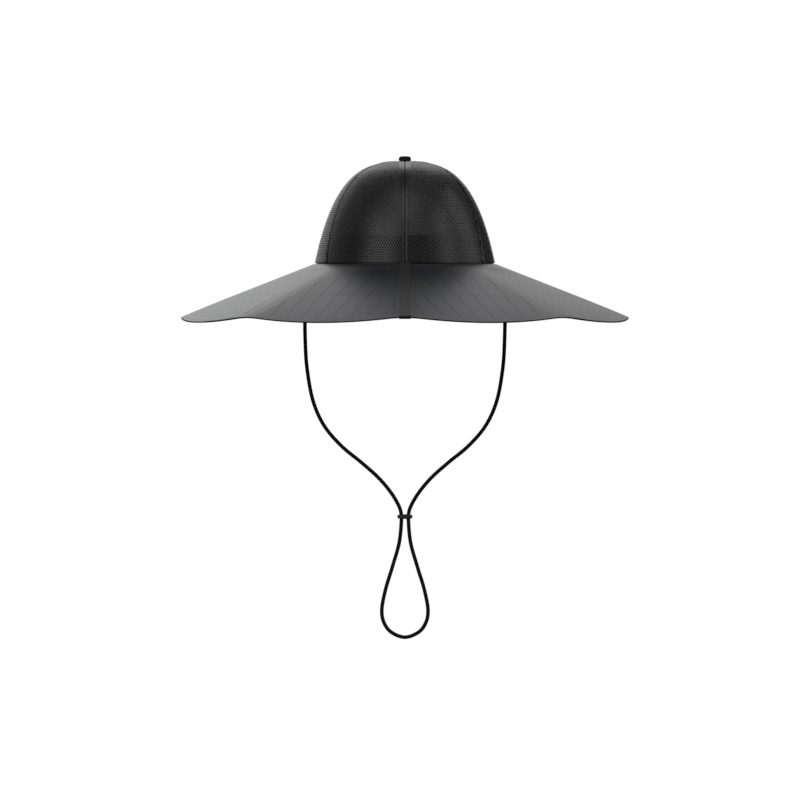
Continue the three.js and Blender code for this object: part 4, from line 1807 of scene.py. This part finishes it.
@dataclass
class FrontStrap:
    """The webbing down the front hip, which turns under the brim's edge. It bears nothing.

    Args:
        width: its width.
        wall: its thickness.
        gap: between it and the brim.
        under: how far its end runs back under the brim.
    """

    width: float = 11.4
    wall: float = 1.0
    gap: float = 0.45
    under: float = 18.0

    @property
    def foot(self) -> float:
        """How far in front of the hat's middle the strap starts."""
        return FORM.foot_width * FORM.length_ratio

    def roof(self, reach: np.ndarray | float) -> np.ndarray:
        """The height of the straight roof along the front hip."""
        return -FORM.hip_slope * (np.asarray(reach) - FORM.foot)

    def fall(self, reach: np.ndarray | float) -> np.ndarray:
        """The height of the brim's top along the front hip."""
        return self.roof(reach) - FORM.droop(reach)

    def centreline(self) -> np.ndarray:
        """Works out the way of the webbing's inner face: down the hip, round the edge and back below.

        Returns:
            Its points, each a reach and a height.
        """
        turn_at = FORM.reach - 0.2
        top_reach = np.linspace(FORM.foot + 0.3, turn_at, 70)
        top = np.stack([top_reach, self.fall(top_reach) + self.gap], axis=-1)
        radius = (FORM.edge_wall - FORM.edge_droop + 2 * self.gap) / 2
        middle = np.array([turn_at, self.fall(turn_at) + self.gap - radius])
        bend = np.linspace(0, math.pi, 12)[1:-1]
        turn = middle + np.stack([np.sin(bend), np.cos(bend)], axis=-1) * radius
        back_reach = np.linspace(turn_at, FORM.reach - self.under, 12)
        low = self.roof(back_reach) - FORM.wall(back_reach) - self.gap
        back = np.stack([back_reach, low], axis=-1)
        return np.concatenate([top, turn, back])

    def face(self, line: np.ndarray, lift: float) -> np.ndarray:
        """Works out one face of the webbing.

        Args:
            line: the way of its inner face, as reaches and heights.
            lift: how far from the inner face this one is.

        Returns:
            Rows of nine points across the webbing.
        """
        ahead = np.gradient(line, axis=0)
        ahead /= np.linalg.norm(ahead, axis=1, keepdims=True)
        away = np.stack([-ahead[:, 1], ahead[:, 0]], axis=-1)
        reach, height = (line + away * lift).T
        across = np.linspace(-self.width / 2, self.width / 2, 9)
        columns = [np.stack([np.full(len(line), x), -self.foot - reach, height], axis=-1) for x in across]
        return np.stack(columns, axis=1)

    def build(self, sewing: Sewing) -> None:
        """Builds the strap and its two rows of stitches.

        Args:
            sewing: what sews the stitches.
        """
        line = self.centreline()
        outer, inner = self.face(line, self.wall), self.face(line, 0.0)
        piece = add_piece("strap_webbing", Patch(outer, inner, laid_out(outer)).mesh())
        soften(piece, 0.3, 2)
        dress(piece, WEBBING, Slot.STRAP, "front_strap")
        rows = []
        for reach in (4.0, FORM.reach - 6.0):
            across = np.linspace(-self.width / 2 + 1.4, self.width / 2 - 1.4, 12)
            height = float(self.fall(reach)) + self.gap + self.wall + 0.05
            rows.append(np.stack([across, np.full(12, -self.foot - reach), np.full(12, height)], axis=-1))
        sewing.sew("strap_stitches", rows, Slot.STRAP)


# Half of the cord's route, from its end under the brim to the bottom of the loop, across and up.
CORD_ROUTE = [
    (100, -10),
    (100, -40),
    (99.8, -72),
    (97.9, -104),
    (91.2, -139),
    (80.2, -162.5),
    (62.9, -182.5),
    (43.5, -198.5),
    (25.7, -214.5),
    (12.6, -230.5),
    (5.4, -243.5),
    (3.7, -250),
    (3.6, -258),
    (5.7, -278.5),
    (12.4, -302.5),
    (19.6, -326.5),
    (23.1, -346.5),
    (21.5, -357.2),
    (14.8, -367.3),
    (0, -373.2),
]


@dataclass
class ChinCord:
    """The chin cord, its slider and the two bosses that hold its ends.

    Args:
        diameter: the cord's diameter.
        strand_lift: how far the braid's strands stand out.
        lay: how far a strand runs along the cord in one turn.
        strands: strands each way round.
        step: from one ring of points along the cord to the next.
        slider_level: the height of the slider's middle.
        slider_size: its length, depth and height.
        hole_at: from its middle to each of its holes.
        hole_radius: a hole's radius in its middle.
        boss_at: from the hat's middle to a boss.
        boss_foot: the height of a boss's lower end.
    """

    diameter: float = 3.5
    strand_lift: float = 0.1
    lay: float = 11.0
    strands: int = 4
    step: float = 0.62
    slider_level: float = -252.6
    slider_size: tuple[float, float, float] = (15.4, 8.4, 4.8)
    hole_at: float = 3.75
    hole_radius: float = 2.1
    boss_at: float = 100.0
    boss_foot: float = -17.0

    def centreline(self) -> np.ndarray:
        """Works out the cord's route as a smooth line, the same curve as in the solids.

        Returns:
            Its points, close together, from the left end to the right one.
        """
        left = np.array([(-x, 0, z) for x, z in CORD_ROUTE], float)
        right = np.array([(x, 0, z) for x, z in CORD_ROUTE[-2::-1]], float)
        points = np.concatenate([left, right])
        ends = np.concatenate([[2 * points[0] - points[1]], points, [2 * points[-1] - points[-2]]])
        line = []
        for i in range(len(points) - 1):
            p0, p1, p2, p3 = ends[i : i + 4]
            knots = [0.0]
            for a, b in ((p0, p1), (p1, p2), (p2, p3)):
                knots.append(knots[-1] + math.sqrt(np.linalg.norm(b - a)))
            t = np.linspace(knots[1], knots[2], 40, endpoint=i == len(points) - 2)[:, None]
            a1 = ((knots[1] - t) * p0 + (t - knots[0]) * p1) / (knots[1] - knots[0])
            a2 = ((knots[2] - t) * p1 + (t - knots[1]) * p2) / (knots[2] - knots[1])
            a3 = ((knots[3] - t) * p2 + (t - knots[2]) * p3) / (knots[3] - knots[2])
            b1 = ((knots[2] - t) * a1 + (t - knots[0]) * a2) / (knots[2] - knots[0])
            b2 = ((knots[3] - t) * a2 + (t - knots[1]) * a3) / (knots[3] - knots[1])
            line.append(((knots[2] - t) * b1 + (t - knots[1]) * b2) / (knots[2] - knots[1]))
        return np.concatenate(line)

    def even(self, line: np.ndarray, step: float) -> np.ndarray:
        """Spaces a line's points evenly.

        Args:
            line: the line's points.
            step: about how far apart the new ones lie.

        Returns:
            The new points.
        """
        lengths = np.concatenate([[0], np.cumsum(np.linalg.norm(np.diff(line, axis=0), axis=1))])
        count = int(round(lengths[-1] / step)) + 1
        wanted = np.linspace(0, lengths[-1], count)
        return np.stack([np.interp(wanted, lengths, line[:, axis]) for axis in range(3)], axis=-1)

    def build(self) -> None:
        """Builds the cord, the slider and the bosses."""
        line = self.even(self.centreline(), self.step)
        cord = self.braid(line)
        slider = self.slider()
        for sign, side in ((-1, "left"), (1, "right")):
            self.boss(sign, side)

    def braid(self, line: np.ndarray) -> bpy.types.Object:
        """Builds the cord as a tube whose surface is a diamond braid.

        Args:
            line: the cord's middle line.

        Returns:
            The cord.
        """
        around = 24
        ahead = np.gradient(line, axis=0)
        ahead /= np.linalg.norm(ahead, axis=1, keepdims=True)
        front = np.tile([0.0, -1.0, 0.0], (len(line), 1))
        side = np.cross(ahead, front)
        lengths = np.concatenate([[0], np.cumsum(np.linalg.norm(np.diff(line, axis=0), axis=1))])
        turn = np.linspace(0, TURN, around, endpoint=False)
        spin = self.strands * turn[None, :]
        run = (TURN * self.strands / self.lay) * lengths[:, None]
        right_hand, left_hand = np.cos((spin + run) / 2) ** 2, np.cos((spin - run) / 2) ** 2
        over = np.maximum(right_hand, left_hand) ** 0.8
        lift = self.strand_lift * (over + 0.9)
        radius = self.diameter / 2 + lift
        points = (
            line[:, None, :]
            + radius[..., None] * np.cos(turn)[None, :, None] * side[:, None, :]
            + radius[..., None] * np.sin(turn)[None, :, None] * front[:, None, :]
        )
        flat = np.concatenate([points.reshape(-1, 3), line[:1], line[-1:]])
        mesh = mesh_of(flat, tube_faces(len(line), around))
        fix_normals(mesh)
        return dress(add_piece("braided_cord", mesh), CORD_BRAID, Slot.CORD, "chin_cord")

    def slider(self) -> bpy.types.Object:
        """Builds the slider: a pillow with a flared hole for each run of the cord.

        Returns:
            The slider.
        """
        length, depth, height = self.slider_size
        bm = bmesh.new()
        bmesh.ops.create_cube(bm, size=2.0)
        bmesh.ops.subdivide_edges(bm, edges=bm.edges[:], cuts=15, use_grid_fill=True)
        power = 3.2
        for vert in bm.verts:
            x, y, z = vert.co
            size = (abs(x) ** power + abs(y) ** power) ** (1 / power)
            flat = max(abs(x), abs(y))
            plan = flat / size if size > 1e-9 else 1.0
            x, y = x * plan, y * plan
            rim = min(1.0, math.hypot(x, y * 0.9))
            dome = (1 - rim**4.5) ** 0.5 if rim < 1 else 0.0
            edge = 0.25 + 0.75 * dome
            vert.co = (x * length / 2 * MM, y * depth / 2 * MM, z * height / 2 * edge * MM)
        bmesh.ops.translate(bm, verts=bm.verts[:], vec=(0, 0, self.slider_level * MM))
        mesh = bpy.data.meshes.new("slider_blank")
        bm.to_mesh(mesh)
        bm.free()
        piece = add_piece("slider", mesh)
        cutters = []
        for sign in (-1, 1):
            cutter = self.flared_hole(sign * self.hole_at)
            cutters.append(cutter)
            cut = piece.modifiers.new("hole", "BOOLEAN")
            cut.operation = "DIFFERENCE"
            cut.solver = "EXACT"
            cut.object = cutter
        bake(piece)
        for cutter in cutters:
            bpy.data.objects.remove(cutter)
        for polygon in piece.data.polygons:
            polygon.use_smooth = True
        return dress(piece, SLIDER_RUBBER, Slot.RUBBER, "cord_slider")

    def flared_hole(self, at: float) -> bpy.types.Object:
        """Makes a cutter for one hole, wider at both mouths.

        Args:
            at: how far the hole is from the slider's middle, to the right.

        Returns:
            The cutter, which is longer than the hole.
        """
        columns, rows = 32, 13
        half = self.slider_size[2] / 2 + 1.5
        heights = np.linspace(-half, half, rows)
        flare = 1.3 * np.maximum(np.abs(heights) / half - 0.35, 0) ** 2
        angles = np.linspace(0, TURN, columns, endpoint=False)
        rings = [
            np.stack(
                [
                    at + (self.hole_radius + f) * np.cos(angles),
                    (self.hole_radius + f) * np.sin(angles),
                    np.full(columns, self.slider_level + h),
                ],
                axis=-1,
            )
            for h, f in zip(heights, flare)
        ]
        faces = [list(range(columns))[::-1], [(rows - 1) * columns + c for c in range(columns)]]
        for low in range(0, (rows - 1) * columns, columns):
            for c in range(columns):
                right = (c + 1) % columns
                faces.append([low + c, low + right, low + columns + right, low + columns + c])
        return add_piece("cutter", mesh_of(np.concatenate(rings), faces, smooth=False))

    def boss(self, sign: int, side: str) -> bpy.types.Object:
        """Builds one boss: a tapered plug against the brim's underside, with a blind bore below.

        Args:
            sign: 1 for the right side, and -1 for the left.
            side: that side's name.

        Returns:
            The boss.
        """
        columns = 48
        angles = np.linspace(0, TURN, columns, endpoint=False)
        bore, lip, flange = 2.1, 3.3, 6.5
        bore_end = -9.5
        profile = [
            (bore, bore_end),
            (bore, self.boss_foot + 0.5),
            (bore + 0.4, self.boss_foot),
            (lip - 0.4, self.boss_foot),
            (lip, self.boss_foot + 0.5),
            (lip + 0.6, -12.0),
            (lip + 1.2, -9.0),
            (flange - 0.9, -7.6),
            (flange, -7.0),
        ]
        rings = []
        for radius, height in profile:
            x, y = self.boss_at + radius * np.cos(angles), radius * np.sin(angles)
            slant = -FORM.hip_slope * (x - self.boss_at) * np.clip((height + 12.0) / 4.0, 0, 1)
            rings.append(np.stack([x, y, height + slant], axis=-1))
        x, y = self.boss_at + (flange - 0.1) * np.cos(angles), (flange - 0.1) * np.sin(angles)
        under = FORM.brim(np.full_like(x, math.pi / 2), x - FORM.foot_width)[:, 2] - FORM.brim_wall - 0.45
        rings.append(np.stack([x, y, under], axis=-1))
        ends = np.array([[self.boss_at, 0.0, bore_end], [self.boss_at, 0.0, float(under.mean())]])
        points = np.concatenate([*rings, ends])
        points[:, 0] *= sign
        mesh = mesh_of(points, tube_faces(len(rings), columns))
        fix_normals(mesh)
        return dress(add_piece(f"boss_{side}", mesh), SLIDER_RUBBER, Slot.RUBBER, f"cord_boss_{side}")


@dataclass(frozen=True)
class SoftBox:
    """A soft studio light.

    Args:
        name: the light's name.
        azimuth: where it stands round the hat, in degrees from the front to the right.
        elevation: how high it stands, in degrees.
        away: its distance, in metres.
        width: its width, in metres.
        height: its height, in metres.
        bright: how bright its face is, where 1 is the white of the backdrop.
    """

    name: str
    azimuth: float
    elevation: float
    away: float
    width: float
    height: float
    bright: float

    def build(self, aim: Vector) -> None:
        """Adds the light, turned towards the hat.

        Args:
            aim: the point that it faces.
        """
        light = bpy.data.lights.new(self.name, "AREA")
        light.shape = "RECTANGLE"
        light.size, light.size_y = self.width, self.height
        light.energy = self.bright * math.pi * self.width * self.height
        made = bpy.data.objects.new(self.name, light)
        bpy.context.scene.collection.objects.link(made)
        azimuth, elevation = math.radians(self.azimuth), math.radians(self.elevation)
        back = Vector(
            (
                math.sin(azimuth) * math.cos(elevation),
                -math.cos(azimuth) * math.cos(elevation),
                math.sin(elevation),
            )
        )
        made.location = aim + back * self.away
        made.rotation_euler = (-back).to_track_quat("-Z", "Y").to_euler()
        made.visible_camera = False


@dataclass
class Studio:
    """The camera, the lights, the white backdrop and the floor.

    Args:
        camera_away: from the camera to the hat, in metres. It is far, as the photograph's lens was long.
        camera_height: the camera's height, level with the brim's edge, in metres.
        view_height: the height that the middle of the picture shows, in metres.
        view_across: what the middle of the picture shows to the right of the hat's middle, in metres.
        view_width: how much the picture takes in, in metres.
        floor: the floor's height, in metres.
        ambient: how bright the surroundings are to anything but the camera.
        lights: the soft boxes.
    """

    camera_away: float = 20.0
    camera_height: float = -0.053
    view_height: float = -0.136
    view_across: float = -0.0049
    view_width: float = 0.8
    floor: float = -0.42
    ambient: float = 0.03
    lights: tuple[SoftBox, ...] = (
        SoftBox("front_left", -40, 20, 2.5, 1.9, 2.2, 1.1),
        SoftBox("right", 70, 20, 2.5, 0.9, 2.2, 0.95),
        SoftBox("right_back", 108, 20, 2.5, 1.1, 2.2, 0.85),
        SoftBox("back_left", -152, 15, 2.5, 1.6, 1.6, 0.6),
        SoftBox("back", 180, 20, 2.5, 1.4, 2.0, 0.79),
        SoftBox("over_back", 180, 45, 2.5, 1.8, 0.9, 0.65),
        SoftBox("over_front", 0, 60, 2.5, 1.8, 1.4, 0.5),
        # This one stands in for the light that a finer net lets through to the sweatband.
        SoftBox("inside", 0, -90, 0.02, 0.13, 0.15, 0.34),
    )

    def build(self) -> None:
        """Sets up the studio."""
        scene = bpy.context.scene
        scene.view_settings.view_transform = "Standard"
        scene.view_settings.look = "None"
        self.camera()
        aim = Vector((0, 0, 0))
        for light in self.lights:
            light.build(aim)
        self.backdrop()
        self.lay_floor()

    def camera(self) -> None:
        """Places the camera at the photograph's angle."""
        data = bpy.data.cameras.new("camera")
        data.sensor_width = 36.0
        data.lens = data.sensor_width * self.camera_away / self.view_width
        data.clip_end = 100.0
        made = bpy.data.objects.new("camera", data)
        bpy.context.scene.collection.objects.link(made)
        made.location = (self.view_across, -self.camera_away, self.camera_height)
        aim = Vector((self.view_across, 0, self.view_height))
        made.rotation_euler = (aim - made.location).to_track_quat("-Z", "Y").to_euler()
        bpy.context.scene.camera = made

    def backdrop(self) -> None:
        """Makes the surroundings white to the camera, and dimmer as a light."""
        world = bpy.data.worlds.new("studio")
        bpy.context.scene.world = world
        world.use_nodes = True
        tree = world.node_tree
        tree.nodes.clear()
        ray = add_node(tree, "ShaderNodeLightPath")
        seen = add_node(tree, "ShaderNodeBackground", {"Color": (1, 1, 1, 1), "Strength": 1.0})
        felt = add_node(tree, "ShaderNodeBackground", {"Color": (1, 1, 1, 1), "Strength": self.ambient})
        both = add_node(
            tree,
            "ShaderNodeMixShader",
            {0: ray.outputs["Is Camera Ray"], 1: felt.outputs[0], 2: seen.outputs[0]},
        )
        add_node(tree, "ShaderNodeOutputWorld", {"Surface": both.outputs[0]})

    def lay_floor(self) -> None:
        """Lays a plain pale floor below the cord. It throws no light up, so the crown stays dark inside."""
        half = 1.6
        corners = [(-half, -half), (half, -half), (half, half), (-half, half)]
        points = np.array([(x / MM, y / MM, self.floor / MM) for x, y in corners])
        floor = add_piece("floor", mesh_of(points, [[0, 1, 2, 3]], smooth=False))
        floor.data.materials.append(FLOOR_PAPER.material())
        floor.visible_diffuse = False
        floor.visible_glossy = False


def main() -> None:
    """Builds the studio and the hat, in order."""
    logging.basicConfig(level=logging.INFO, format="%(message)s")
    Studio().build()
    ChinCord().build()
    sewing = Sewing()
    Crown().build(sewing)
    Sweatband().build(sewing)
    Button().build()
    Brim().build(sewing)
    FrontStrap().build(sewing)


if __name__ == "__main__":
    main()
